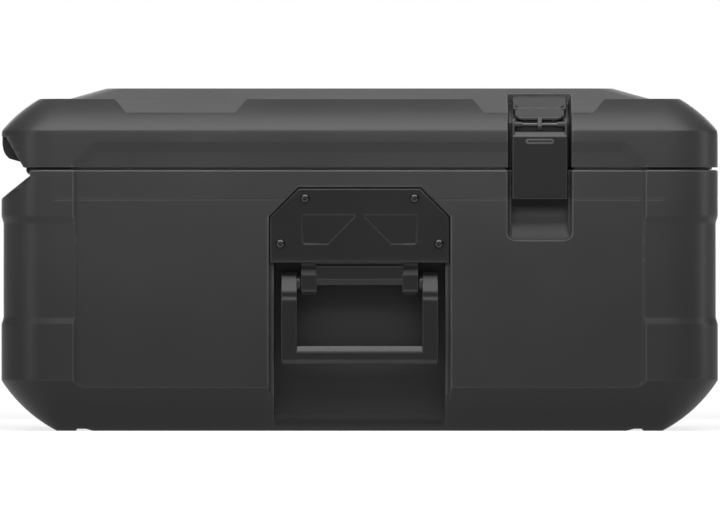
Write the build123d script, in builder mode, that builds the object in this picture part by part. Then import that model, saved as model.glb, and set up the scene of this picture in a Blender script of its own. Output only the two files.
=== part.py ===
from build123d import *
import os
from math import atan, cos, radians, sin

# A hard cargo case in millimetres. X runs from the hinge to the front, Y from the near side to
# the far side, Z up. The origin is on the floor under the middle of the case. "Inset" is always
# the distance in from the outermost faces, the planes of the four corner pillars.

# Overall size
case_width = 617.0
case_depth = 520.0
corner_radius = 51.0
wall = 4.0
least_corner = 4.0
reach = 12.0

# Base: the sloped foot, the pillars and the rim
foot_height = 43.6
foot_inset = 47.6
bow_radius = 124.0
bow_steps = 6
rim_height = 224.6
pillar_width = 62.0
pillar_band_low = 92.1
pillar_band_high = 184.9
pillar_band_ramp = 5.6
pillar_band_depth = 1.8
panel_depth = 4.1
panel_bottom = 37.5
panel_corner = 7.0
panel_slant = 43.0
runner_offset = 229.8
runner_width = 14.3
runner_depth = 1.7
floor_margin = 6.4

# Lid: skirt, shoulder and crown, stacked on the parting gap
parting_gap = 2.2
skirt_height = 31.6
shoulder_rise = 27.5
shoulder_inset = 32.8
crown_rise = 9.3
crown_inset = 90.0
crown_slope = 0.29
crown_corner = 14.0
lid_top_wall = 5.0
field_border = 18.0
field_depth = 1.6
field_corner = 16.0
recess_margin = 61.5
recess_slant = 3.6
recess_top_drop = 9.9
recess_lip = 8.6
recess_chamfer = 18.1
window_offset = 154.0
end_window_offset = 112.0
window_width = 93.0
window_flare = 48.5
window_inset = 15.6

# Seal between lid and base
seal_inset = 28.0
seal_rear_extra = 12.0
seal_corner = 30.0
flange_reach = 5.0
flange_thickness = 4.0
gasket_width = 5.0
gasket_height = 3.0
gasket_gap = 0.2
tongue_width = 2.0
lip_width = 2.0
lip_height = 2.6

# Hinge at the rear: axis, barrels and the notch that lets the lid fall back
hinge_inset = 25.3
hinge_rise = 0.5
barrel_radius = 4.5
barrel_clearance = 0.5
hinge_pin_radius = 2.0
running_gap = 0.05
hinge_offset = 130.0
lug_width = 60.0
ear_width = 14.0
ear_gap = 0.4
lug_pocket_gap = 1.0
lid_travel = 95.0
swing_margin = 3.0
notch_lip = 0.5
notch_drop = 5.8
notch_foot_drop = 25.3

# Side handles
handle_top_drop = 14.8
handle_top_half = 52.7
handle_half = 78.3
handle_chamfer = 25.8
handle_seat_inset = 9.0
hand_half = 73.5
hand_inset = 34.5
hand_top = 147.0
hand_corner = 5.0
bracket_gap = 1.6
bracket_thickness = 4.3
seat_gap = 0.1
bracket_bottom = 144.5
bail_pivot_inset = 16.0
bail_pivot_height = 127.0
bail_half = 67.6
arm_width = 13.8
bail_front_inset = 3.0
bail_bottom = 57.7
bar_height = 15.9
bar_thickness = 12.0
handle_pin_radius = 3.0
lug_half = 50.4
lug_thickness = 13.8
boss_radius = 6.5
side_gap = 0.5
upper_screw_half = 47.1
upper_screw_drop = 24.6
lower_screw_half = 68.2
lower_screw_drop = 63.6
screw_radius = 2.0
screw_head_radius = 4.1
screw_head_height = 2.3
screw_reach = 14.0
socket_radius = 1.5
socket_depth = 1.3
boss_wall = 3.0
bracket_edge = 0.8
ledge_setback = 0.9
lug_back = 8.0
lug_front = 8.5
lug_rise = 13.0
lug_drop = 10.5
lug_bevel = 4.0
apron_back = 3.6
apron_front = 1.0
apron_drop = 20.0
apron_bevel = 1.5
fade_depth = 0.7
fade_low = 15.9
fade_waist = 39.5
fade_high = 41.5
fade_outer = 49.5
fade_corner = 3.0
fade_foot = 27.2
fade_inner = 4.0
arm_rise = 10.0
arm_setback = 1.6
arm_slope_drop = 7.4
arm_step_drop = 11.7
arm_front_drop = 14.3
arm_back_drop = 19.0
arm_waist_drop = 9.0
arm_bevel = 4.0
bail_bevel = 2.6
grip_bevel = 5.6

# Latches near the front, one on each side
latch_offset = 154.8
latch_width = 47.3
slot_width = 54.5
slot_inset = 20.5
slot_bottom = 163.4
slot_corner = 7.3
scoop_height = 35.0
scoop_sag = 4.2
channel_inset = 75.0
channel_depth = 9.0
cap_inset = 39.0
cap_length = 34.0
cap_drop = 1.5
plinth_thickness = 1.9
pivot_inset = 9.5
pivot_height = 263.5
latch_pin_radius = 1.5
post_width = 5.2
post_radius = 3.0
post_arm_rise = 2.1
block_half = 20.6
block_inset = 14.0
block_bottom = 256.0
lever_bottom = 199.5
lever_inset = 1.5
lever_thickness = 4.0
lever_shoulder = 253.2
lever_ledge = 4.3
lever_lip = 2.0
lever_mark_width = 20.6
lever_mark_height = 2.6
lever_mark_drop = 2.5
lever_mark_depth = 0.6
cheek_thickness = 2.2
cheek_radius = 4.8
cheek_setback = 1.0
cheek_foot = 4.0
cheek_waist = 16.0
catch_half = 20.0
catch_inset = 12.0
catch_bottom = 214.0
catch_height = 5.5
hook_half = 14.0
hook_clearance = 0.4
hook_drop = 1.5
hook_height = 4.0
hook_slope = 3.0
button_inset = 11.5
button_length = 25.0
button_half = 21.0
button_corner = 7.5
button_thickness = 3.0
button_travel = 1.8
stem_offset = 12.0
stem_inset = 17.2
stem_radius = 1.2
spring_wire = 0.6
spring_radius = 2.1
spring_turns = 4
well_radius = 2.9
well_bottom = 263.0

# Worked out from the sizes above
lid_bottom = rim_height + parting_gap
skirt_top = lid_bottom + skirt_height
shoulder_top = skirt_top + shoulder_rise
case_height = shoulder_top + crown_rise
crown_foot_inset = crown_inset - crown_rise / crown_slope
crown_angle = atan(crown_slope)
hinge_x = hinge_inset - case_width / 2
hinge_z = rim_height + hinge_rise
flange_inset = seal_inset + flange_reach


def crown_height(inset):
    """Height of the lid's sloping crown plane at an inset from the side faces."""
    return case_height - crown_slope * (crown_inset - inset)


def plan(height, inset, rear=0.0, radius=None):
    """The rounded outline of the case at a height, moved in by inset, and by rear more at the hinge."""
    corner = max(corner_radius - inset, least_corner) if radius is None else radius
    with BuildSketch(Plane.XY.offset(height)) as outline:
        with Locations((rear / 2, 0)):
            RectangleRounded(case_width - 2 * inset - rear, case_depth - 2 * inset, corner)
    return outline.sketch


def bowed(start, end):
    """Points (inset, height) of the gently bowed arc that the foot and the shoulder share."""
    with BuildLine() as bow:
        RadiusArc(start, end, bow_radius)
    steps = [bow.line @ (step / bow_steps) for step in range(bow_steps + 1)]
    return [(point.X, point.Y) for point in steps]


def side_outline(side, x, points):
    """A closed outline across a side face at x: points are (inset, height), side is -1 near, 1 far."""
    with BuildSketch(Plane.YZ.offset(x)) as outline:
        with BuildLine():
            Polyline(*[(side * (case_depth / 2 - inset), height) for inset, height in points], close=True)
        make_face()
    return outline.sketch


def hinge_outline(y, points):
    """A closed outline across the hinge at y: points are (out, up) from the hinge axis."""
    with BuildSketch(Plane.XZ.offset(-y)) as outline:
        with BuildLine():
            Polyline(*[(hinge_x - out, hinge_z + up) for out, up in points], close=True)
        make_face()
    return outline.sketch


def side_plane(side, inset):
    """A drawing plane parallel to a side face, facing out, with its local y up."""
    return Plane(origin=(0, side * (case_depth / 2 - inset), 0), x_dir=(-side, 0, 0), z_dir=(0, side, 0))


def end_plane(end, inset):
    """A drawing plane parallel to the front (1) or rear (-1) face, facing out, with its local y up."""
    return Plane(origin=(end * (case_width / 2 - inset), 0, 0), x_dir=(0, end, 0), z_dir=(end, 0, 0))


def crown_plane(turn, face, across):
    """A drawing plane in the crown's slope over a face, at the foot of a window, its local y uphill."""
    near = Plane(
        origin=(across, window_inset - face / 2, crown_height(window_inset)),
        x_dir=(1, 0, 0),
        z_dir=(0, -sin(crown_angle), cos(crown_angle)),
    )
    return Plane(Location((0, 0, 0), (0, 0, turn)) * near.location)


def swung(point, angle):
    """A point (out, up) from the hinge axis after the lid has opened by an angle."""
    out, up = point
    turn = radians(angle)
    return out * cos(turn) + up * sin(turn), up * cos(turn) - out * sin(turn)


def recess_outline(plane, half, top):
    """The outline of the lid's side recess: open below, with two chamfered upper corners."""
    chamfer = recess_chamfer
    with BuildSketch(plane) as outline:
        with BuildLine():
            Polyline(
                (-half, lid_bottom - reach),
                (-half, top - chamfer),
                (-half + chamfer, top),
                (half - chamfer, top),
                (half, top - chamfer),
                (half, lid_bottom - reach),
                close=True,
            )
        make_face()
    return outline.sketch


def recess_outlines(plane_at, half):
    """The outlines between which the lid's side recess lies: its floor, and past its mouth."""
    grow = (panel_depth + 1.0) / panel_depth
    top = skirt_top - recess_top_drop
    floor = recess_outline(plane_at(panel_depth), half - recess_slant, top - recess_lip)
    mouth = recess_outline(
        plane_at(-1.0), half + recess_slant * (grow - 1), top + recess_lip * (grow - 1)
    )
    return floor, mouth


# The notch at the rear: the base's slope, and the same slope swung back to give the lid its relief
notch_foot = (hinge_inset, -notch_foot_drop)
notch_head = (notch_lip, -notch_drop)
relief_head = swung(notch_head, -(lid_travel + swing_margin))
relief_foot = swung(notch_foot, -(lid_travel + swing_margin))

# Underside of the two hinge lugs of the lid, from the barrel out to the rear face
lug_profile = [(1.2, 4.5), (6.9, 6.2), (19.5, 9.6), (24.3, 16.5), (hinge_inset, 22.0)]
lug_swept = [swung(point, lid_travel + swing_margin) for point in lug_profile[1:4]]

lug_places = [-hinge_offset, hinge_offset]
ear_places = [
    lug + step * (lug_width / 2 + ear_gap + ear_width / 2) for lug in lug_places for step in (-1, 1)
]
free_spans = [
    (-case_depth / 2 - reach, -hinge_offset - lug_width / 2),
    (-hinge_offset + lug_width / 2, hinge_offset - lug_width / 2),
    (hinge_offset + lug_width / 2, case_depth / 2 + reach),
]
screw_places = [
    (step * half, rim_height - drop)
    for half, drop in ((upper_screw_half, upper_screw_drop), (lower_screw_half, lower_screw_drop))
    for step in (-1, 1)
]

# Hollow of the base, with room left for the walls behind the pockets, the notch and the bosses
with BuildPart() as base_hollow:
    loft(
        [
            plan(wall, foot_inset + wall / 2),
            plan(foot_height + wall / 2, panel_depth + wall),
        ],
        ruled=True,
    )
    extrude(
        plan(foot_height + wall / 2, panel_depth + wall),
        amount=rim_height - flange_thickness - foot_height - wall / 2,
    )
    extrude(
        hinge_outline(
            0,
            [
                (hinge_inset + reach, -notch_foot_drop - 3 * wall),
                (hinge_inset - 3 * wall, -notch_foot_drop - 3 * wall),
                (-2 * wall, -notch_drop - wall),
                (-3 * wall, 0),
                (hinge_inset + reach, 0),
            ],
        ),
        amount=case_depth,
        both=True,
        mode=Mode.SUBTRACT,
    )
    for side in (-1, 1):
        extrude(
            side_outline(
                side,
                0,
                [
                    (0, 0),
                    (handle_seat_inset + wall, 0),
                    (handle_seat_inset + wall, rim_height - handle_top_drop + wall),
                    (0, rim_height - handle_top_drop + wall),
                ],
            ),
            amount=handle_half + wall,
            both=True,
            mode=Mode.SUBTRACT,
        )
        extrude(
            side_outline(
                side,
                0,
                [(0, 0), (hand_inset + wall, 0), (hand_inset + wall, hand_top + wall), (0, hand_top + wall)],
            ),
            amount=hand_half + wall,
            both=True,
            mode=Mode.SUBTRACT,
        )
        extrude(
            side_outline(
                side,
                latch_offset,
                [
                    (0, slot_bottom - wall),
                    (slot_inset + wall, slot_bottom - wall),
                    (slot_inset + wall, rim_height),
                    (0, rim_height),
                ],
            ),
            amount=slot_width / 2 + wall,
            both=True,
            mode=Mode.SUBTRACT,
        )
        with BuildSketch(side_plane(side, 0)):
            with Locations(*screw_places):
                Circle(screw_radius + running_gap + boss_wall)
        extrude(amount=-(handle_seat_inset + screw_reach + boss_wall), mode=Mode.SUBTRACT)

# Base
with BuildPart() as base_shell:
    foot = bowed((foot_inset, 0), (0, foot_height))
    loft([plan(height, inset) for inset, height in foot], ruled=True)
    band = [
        (foot_height, 0),
        (pillar_band_low, 0),
        (pillar_band_low + pillar_band_ramp, pillar_band_depth),
        (pillar_band_high - pillar_band_ramp, pillar_band_depth),
        (pillar_band_high, 0),
        (rim_height, 0),
    ]
    loft([plan(height, inset) for height, inset in band], ruled=True)
    add(base_hollow.part, mode=Mode.SUBTRACT)

    # The opening inside the rim flange, and the sealing tongue that stands on the flange
    rim_opening = plan(rim_height + reach, flange_inset, seal_rear_extra, seal_corner - flange_reach)
    extrude(rim_opening, amount=-(flange_thickness + 2 * reach), mode=Mode.SUBTRACT)
    tongue_height = parting_gap + wall - gasket_height - gasket_gap
    with BuildSketch(Plane.XY.offset(rim_height)):
        add(plan(0, seal_inset - tongue_width / 2, seal_rear_extra, seal_corner + tongue_width / 2))
        add(
            plan(0, seal_inset + tongue_width / 2, seal_rear_extra, seal_corner - tongue_width / 2),
            mode=Mode.SUBTRACT,
        )
    extrude(amount=tongue_height)

    # Recessed panels between the pillars, on all four sides
    panel_middle = (panel_bottom + rim_height + reach) / 2
    panel_height = rim_height + reach - panel_bottom
    for plane, length in (
        (side_plane(-1, panel_depth), case_width),
        (side_plane(1, panel_depth), case_width),
        (end_plane(-1, panel_depth), case_depth),
        (end_plane(1, panel_depth), case_depth),
    ):
        with BuildSketch(plane):
            with Locations((0, panel_middle)):
                RectangleRounded(length - 2 * (pillar_width + panel_depth), panel_height, panel_corner)
        extrude(amount=panel_depth + 1, taper=-panel_slant, mode=Mode.SUBTRACT)

    # The rear notch, the barrels and the pockets that take the swinging lugs
    with BuildSketch(Plane.XZ.offset(-case_depth)):
        with BuildLine():
            far_out = hinge_inset + reach
            slope = (notch_foot_drop - notch_drop) / (hinge_inset - notch_lip)
            Polyline(
                (hinge_x - notch_lip, hinge_z + reach),
                (hinge_x - notch_lip, hinge_z - notch_drop),
                (hinge_x - far_out, hinge_z - notch_drop - slope * (far_out - notch_lip)),
                (hinge_x - far_out, hinge_z + reach),
                close=True,
            )
        make_face()
    extrude(amount=2 * case_depth, mode=Mode.SUBTRACT)
    for lug in lug_places:
        pocket = [(out - lug_pocket_gap, up - lug_pocket_gap) for out, up in lug_swept]
        last_out, last_up = pocket[-1]
        extrude(
            hinge_outline(
                lug,
                [
                    notch_head,
                    *pocket,
                    (far_out, last_up - (far_out - last_out) / 3),
                    (far_out, reach),
                    (notch_lip, reach),
                ],
            ),
            amount=lug_width / 2 + ear_gap,
            both=True,
            mode=Mode.SUBTRACT,
        )
        with BuildSketch(Plane.XZ.offset(-lug)):
            with Locations((hinge_x, hinge_z)):
                Circle(barrel_radius + barrel_clearance)
        extrude(amount=lug_width / 2 + ear_gap, both=True, mode=Mode.SUBTRACT)
    for ear in ear_places:
        with BuildSketch(Plane.XZ.offset(-ear)):
            with Locations((hinge_x, hinge_z)):
                Circle(barrel_radius)
        extrude(amount=ear_width / 2, both=True)
        with BuildSketch(Plane.XZ.offset(-ear)):
            with Locations((hinge_x, hinge_z)):
                Circle(hinge_pin_radius + running_gap)
        extrude(amount=ear_width / 2 + ear_gap, both=True, mode=Mode.SUBTRACT)

    for side in (-1, 1):
        # Seat of the handle bracket, with its screw bosses, and the deep hand pocket below it
        with BuildSketch(side_plane(side, handle_seat_inset)):
            with BuildLine():
                seat_top = rim_height - handle_top_drop
                Polyline(
                    (-handle_half, -reach),
                    (-handle_half, seat_top - handle_chamfer),
                    (-handle_top_half, seat_top),
                    (handle_top_half, seat_top),
                    (handle_half, seat_top - handle_chamfer),
                    (handle_half, -reach),
                    close=True,
                )
            make_face()
        extrude(amount=handle_seat_inset + reach, mode=Mode.SUBTRACT)
        with BuildSketch(side_plane(side, hand_inset)):
            with Locations((0, (hand_top - reach) / 2)):
                RectangleRounded(2 * hand_half, hand_top + reach, hand_corner)
        extrude(amount=hand_inset + reach, mode=Mode.SUBTRACT)
        with BuildSketch(side_plane(side, handle_seat_inset)):
            with Locations(*screw_places):
                Circle(screw_radius + running_gap)
        extrude(amount=-(screw_reach - bracket_thickness), mode=Mode.SUBTRACT)

        # Latch slot with its finger scoop, and the catch that the lever's hook goes under
        scoop_top = slot_bottom + scoop_height
        with BuildPart(mode=Mode.PRIVATE) as latch_slot:
            with BuildSketch(side_plane(side, -reach)):
                with Locations((-side * latch_offset, (slot_bottom + rim_height + 2 * reach) / 2)):
                    slot_height = rim_height + 2 * reach - slot_bottom
                    RectangleRounded(slot_width, slot_height, slot_corner)
            extrude(amount=-(slot_inset + reach))
            with BuildSketch(Plane.YZ.offset(latch_offset)):
                with BuildLine():
                    face_y = side * case_depth / 2
                    deep_y = face_y - side * slot_inset
                    lip_y = face_y - side * panel_depth
                    out_y = face_y + side * 2 * reach
                    top_z = rim_height + 2 * reach
                    SagittaArc((deep_y, scoop_top), (lip_y, slot_bottom), -side * scoop_sag)
                    Polyline(
                        (lip_y, slot_bottom),
                        (out_y, slot_bottom),
                        (out_y, top_z),
                        (deep_y, top_z),
                        (deep_y, scoop_top),
                    )
                make_face()
            extrude(amount=slot_width, both=True, mode=Mode.INTERSECT)
        add(latch_slot.part, mode=Mode.SUBTRACT)
        extrude(
            side_outline(
                side,
                latch_offset,
                [
                    (catch_inset, catch_bottom),
                    (slot_inset + wall / 2, catch_bottom),
                    (slot_inset + wall / 2, catch_bottom + catch_height),
                    (catch_inset, catch_bottom + catch_height),
                ],
            ),
            amount=catch_half,
            both=True,
        )

    # Two shallow runners under the floor
    for step in (-1, 1):
        with BuildSketch(Plane.XY):
            with Locations((step * (runner_offset + runner_width / 2), 0)):
                Rectangle(runner_width, case_depth)
        extrude(amount=runner_depth, mode=Mode.SUBTRACT)

# The base is one moulding, kept as nine plain pieces that meet face to face
side_cut = case_depth / 2 - foot_inset - floor_margin
end_cut = case_width / 2 - foot_inset - floor_margin
side_end = case_depth / 2 + reach
front_end = case_width / 2 + reach
pocket_cut = handle_half + 2 * wall
base_pieces = [
    ("floor", (-end_cut, end_cut), (-side_cut, side_cut)),
    ("rear", (-front_end, -end_cut), (-side_cut, side_cut)),
    ("front", (end_cut, front_end), (-side_cut, side_cut)),
    ("near_rear", (-front_end, -pocket_cut), (-side_end, -side_cut)),
    ("near_middle", (-pocket_cut, pocket_cut), (-side_end, -side_cut)),
    ("near_front", (pocket_cut, front_end), (-side_end, -side_cut)),
    ("far_rear", (-front_end, -pocket_cut), (side_cut, side_end)),
    ("far_middle", (-pocket_cut, pocket_cut), (side_cut, side_end)),
    ("far_front", (pocket_cut, front_end), (side_cut, side_end)),
]
for name, x_span, y_span in base_pieces:
    with BuildPart() as base_piece:
        add(base_shell.part)
        with BuildSketch(Plane.XY.offset(-reach)):
            with Locations((sum(x_span) / 2, sum(y_span) / 2)):
                Rectangle(x_span[1] - x_span[0], y_span[1] - y_span[0])
        extrude(amount=rim_height + 3 * reach, mode=Mode.INTERSECT)
    base_piece.part.label = "base_" + name
    export_step(base_piece.part, f"parts/{base_piece.part.label}.step")

# Hollow of the lid, with room left for the flange, the notch walls and the latch slots
with BuildPart() as lid_hollow:
    inner_top = case_height - lid_top_wall
    inner_edge = crown_inset + wall
    inner_shoulder = shoulder_inset / 2 + wall
    extrude(plan(lid_bottom - reach, panel_depth + wall), amount=skirt_height + reach - wall)
    loft(
        [
            plan(skirt_top - wall, panel_depth + wall),
            plan(crown_height(inner_shoulder) - lid_top_wall, inner_shoulder),
        ],
        ruled=True,
    )
    loft(
        [
            plan(crown_height(inner_shoulder) - lid_top_wall, inner_shoulder),
            plan(inner_top, inner_edge, radius=crown_corner),
        ],
        ruled=True,
    )
    flange_low = lid_bottom + wall
    with BuildSketch(Plane.XY.offset(flange_low)):
        add(plan(0, 0))
        add(plan(0, flange_inset, seal_rear_extra, seal_corner - flange_reach), mode=Mode.SUBTRACT)
    extrude(amount=flange_thickness, mode=Mode.SUBTRACT)
    extrude(
        hinge_outline(
            0,
            [
                (hinge_inset + reach, -reach),
                (-2.5 * wall, -reach),
                (-2.5 * wall, flange_low + flange_thickness - hinge_z),
                (relief_foot[0] - 2 * wall, relief_foot[1] + wall),
                (hinge_inset + reach, relief_foot[1] + wall),
            ],
        ),
        amount=case_depth,
        both=True,
        mode=Mode.SUBTRACT,
    )
    for side in (-1, 1):
        behind_slot = slot_inset + wall
        behind_channel = channel_inset + wall
        under_channel = channel_depth + wall
        extrude(
            side_outline(
                side,
                latch_offset,
                [
                    (-reach, lid_bottom - reach),
                    (behind_slot, lid_bottom - reach),
                    (behind_slot, crown_height(behind_slot) - under_channel),
                    (behind_channel, crown_height(behind_channel) - under_channel),
                    (behind_channel, case_height + reach),
                    (-reach, case_height + reach),
                ],
            ),
            amount=slot_width / 2 + wall,
            both=True,
            mode=Mode.SUBTRACT,
        )

# Lid shell
with BuildPart() as lid_shell:
    extrude(plan(lid_bottom, 0), amount=skirt_height)
    shoulder = bowed((0, skirt_top), (shoulder_inset, shoulder_top))
    loft([plan(height, inset) for inset, height in shoulder], ruled=True)
    loft(
        [
            plan(shoulder_top, crown_foot_inset, radius=crown_corner),
            plan(case_height, crown_inset, radius=crown_corner),
        ],
        ruled=True,
    )
    add(lid_hollow.part, mode=Mode.SUBTRACT)

    # The lip inside the gasket, and the shallow field on top
    with BuildSketch(Plane.XY.offset(flange_low - lip_height)):
        add(plan(0, flange_inset - lip_width, seal_rear_extra, seal_corner - flange_reach + lip_width))
        add(plan(0, flange_inset, seal_rear_extra, seal_corner - flange_reach), mode=Mode.SUBTRACT)
    extrude(amount=lip_height)
    extrude(
        plan(case_height, crown_inset + field_border, radius=field_corner),
        amount=-field_depth,
        mode=Mode.SUBTRACT,
    )

    # Windows in the shoulder, where the crown plane runs on down between the pads
    window_reach = (crown_foot_inset - window_inset) / cos(crown_angle)
    window_foot_half = (window_width - window_flare * reach / window_reach) / 2
    window_head_half = (window_width + window_flare) / 2
    for turn, face, offset_along in (
        (0, case_depth, window_offset),
        (90, case_width, end_window_offset),
        (180, case_depth, window_offset),
        (270, case_width, end_window_offset),
    ):
        for step in (-1, 1):
            with BuildSketch(crown_plane(turn, face, step * offset_along)):
                with BuildLine():
                    Polyline(
                        (-window_foot_half, -reach),
                        (window_foot_half, -reach),
                        (window_head_half, window_reach),
                        (-window_head_half, window_reach),
                        close=True,
                    )
                make_face()
            extrude(amount=shoulder_rise, dir=(0, 0, 1), mode=Mode.SUBTRACT)

    # Side recesses on three sides, the rear one being taken up by the hinge notch
    side_half = case_width / 2 - recess_margin
    end_half = case_depth / 2 - recess_margin
    loft(recess_outlines(lambda inset: side_plane(-1, inset), side_half), ruled=True, mode=Mode.SUBTRACT)
    loft(recess_outlines(lambda inset: side_plane(1, inset), side_half), ruled=True, mode=Mode.SUBTRACT)
    loft(recess_outlines(lambda inset: end_plane(1, inset), end_half), ruled=True, mode=Mode.SUBTRACT)

    # Relief behind the hinge, two lugs left standing in it, and their barrels
    for low, high in free_spans:
        extrude(
            hinge_outline(
                (low + high) / 2,
                [
                    (relief_head[0], -reach),
                    relief_head,
                    relief_foot,
                    (hinge_inset + reach, relief_foot[1]),
                    (hinge_inset + reach, -reach),
                ],
            ),
            amount=(high - low) / 2,
            both=True,
            mode=Mode.SUBTRACT,
        )
    for lug in lug_places:
        lug_start = lug_profile[0]
        extrude(
            hinge_outline(
                lug,
                [
                    (lug_start[0], -reach),
                    *lug_profile,
                    (hinge_inset + reach, lug_profile[-1][1]),
                    (hinge_inset + reach, -reach),
                ],
            ),
            amount=lug_width / 2,
            both=True,
            mode=Mode.SUBTRACT,
        )
        with BuildSketch(Plane.XZ.offset(-lug)):
            with Locations((hinge_x, hinge_z)):
                Circle(barrel_radius)
        extrude(amount=lug_width / 2, both=True)
        with BuildSketch(Plane.XZ.offset(-lug)):
            with Locations((hinge_x, hinge_z)):
                Circle(hinge_pin_radius + running_gap)
        extrude(amount=lug_width / 2 + ear_gap, both=True, mode=Mode.SUBTRACT)
    for ear in ear_places:
        with BuildSketch(Plane.XZ.offset(-ear)):
            with Locations((hinge_x, hinge_z)):
                Circle(barrel_radius + barrel_clearance)
        extrude(amount=ear_width / 2 + ear_gap, both=True, mode=Mode.SUBTRACT)

    # Latch slots: open to the side below, and a channel that runs up over the crown
    for side in (-1, 1):
        extrude(
            side_outline(
                side,
                latch_offset,
                [
                    (-reach, lid_bottom - reach),
                    (slot_inset, lid_bottom - reach),
                    (slot_inset, crown_height(slot_inset) - channel_depth),
                    (channel_inset, crown_height(channel_inset) - channel_depth),
                    (channel_inset, case_height + reach),
                    (-reach, case_height + reach),
                ],
            ),
            amount=slot_width / 2,
            both=True,
            mode=Mode.SUBTRACT,
        )
lid_shell.part.label = "lid_shell"
export_step(lid_shell.part, "parts/lid_shell.step")

# Rubber gasket, seated under the lid's flange
with BuildPart() as lid_gasket:
    with BuildSketch(Plane.XY.offset(flange_low - gasket_height)):
        add(plan(0, seal_inset - gasket_width / 2, seal_rear_extra, seal_corner + gasket_width / 2))
        add(
            plan(0, seal_inset + gasket_width / 2, seal_rear_extra, seal_corner - gasket_width / 2),
            mode=Mode.SUBTRACT,
        )
    extrude(amount=gasket_height)
lid_gasket.part.label = "lid_gasket"
export_step(lid_gasket.part, "parts/lid_gasket.step")

# Hinge pins, each through one lug of the lid and the two ears of the base beside it
for name, lug in (("near", -hinge_offset), ("far", hinge_offset)):
    with BuildPart() as hinge_pin:
        with BuildSketch(Plane.XZ.offset(-lug)):
            with Locations((hinge_x, hinge_z)):
                Circle(hinge_pin_radius)
        extrude(amount=lug_width / 2 + ear_gap + ear_width, both=True)
        chamfer(hinge_pin.edges().filter_by(GeomType.CIRCLE), hinge_pin_radius / 4)
    hinge_pin.part.label = "hinge_pin_" + name
    export_step(hinge_pin.part, f"parts/{hinge_pin.part.label}.step")

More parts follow.
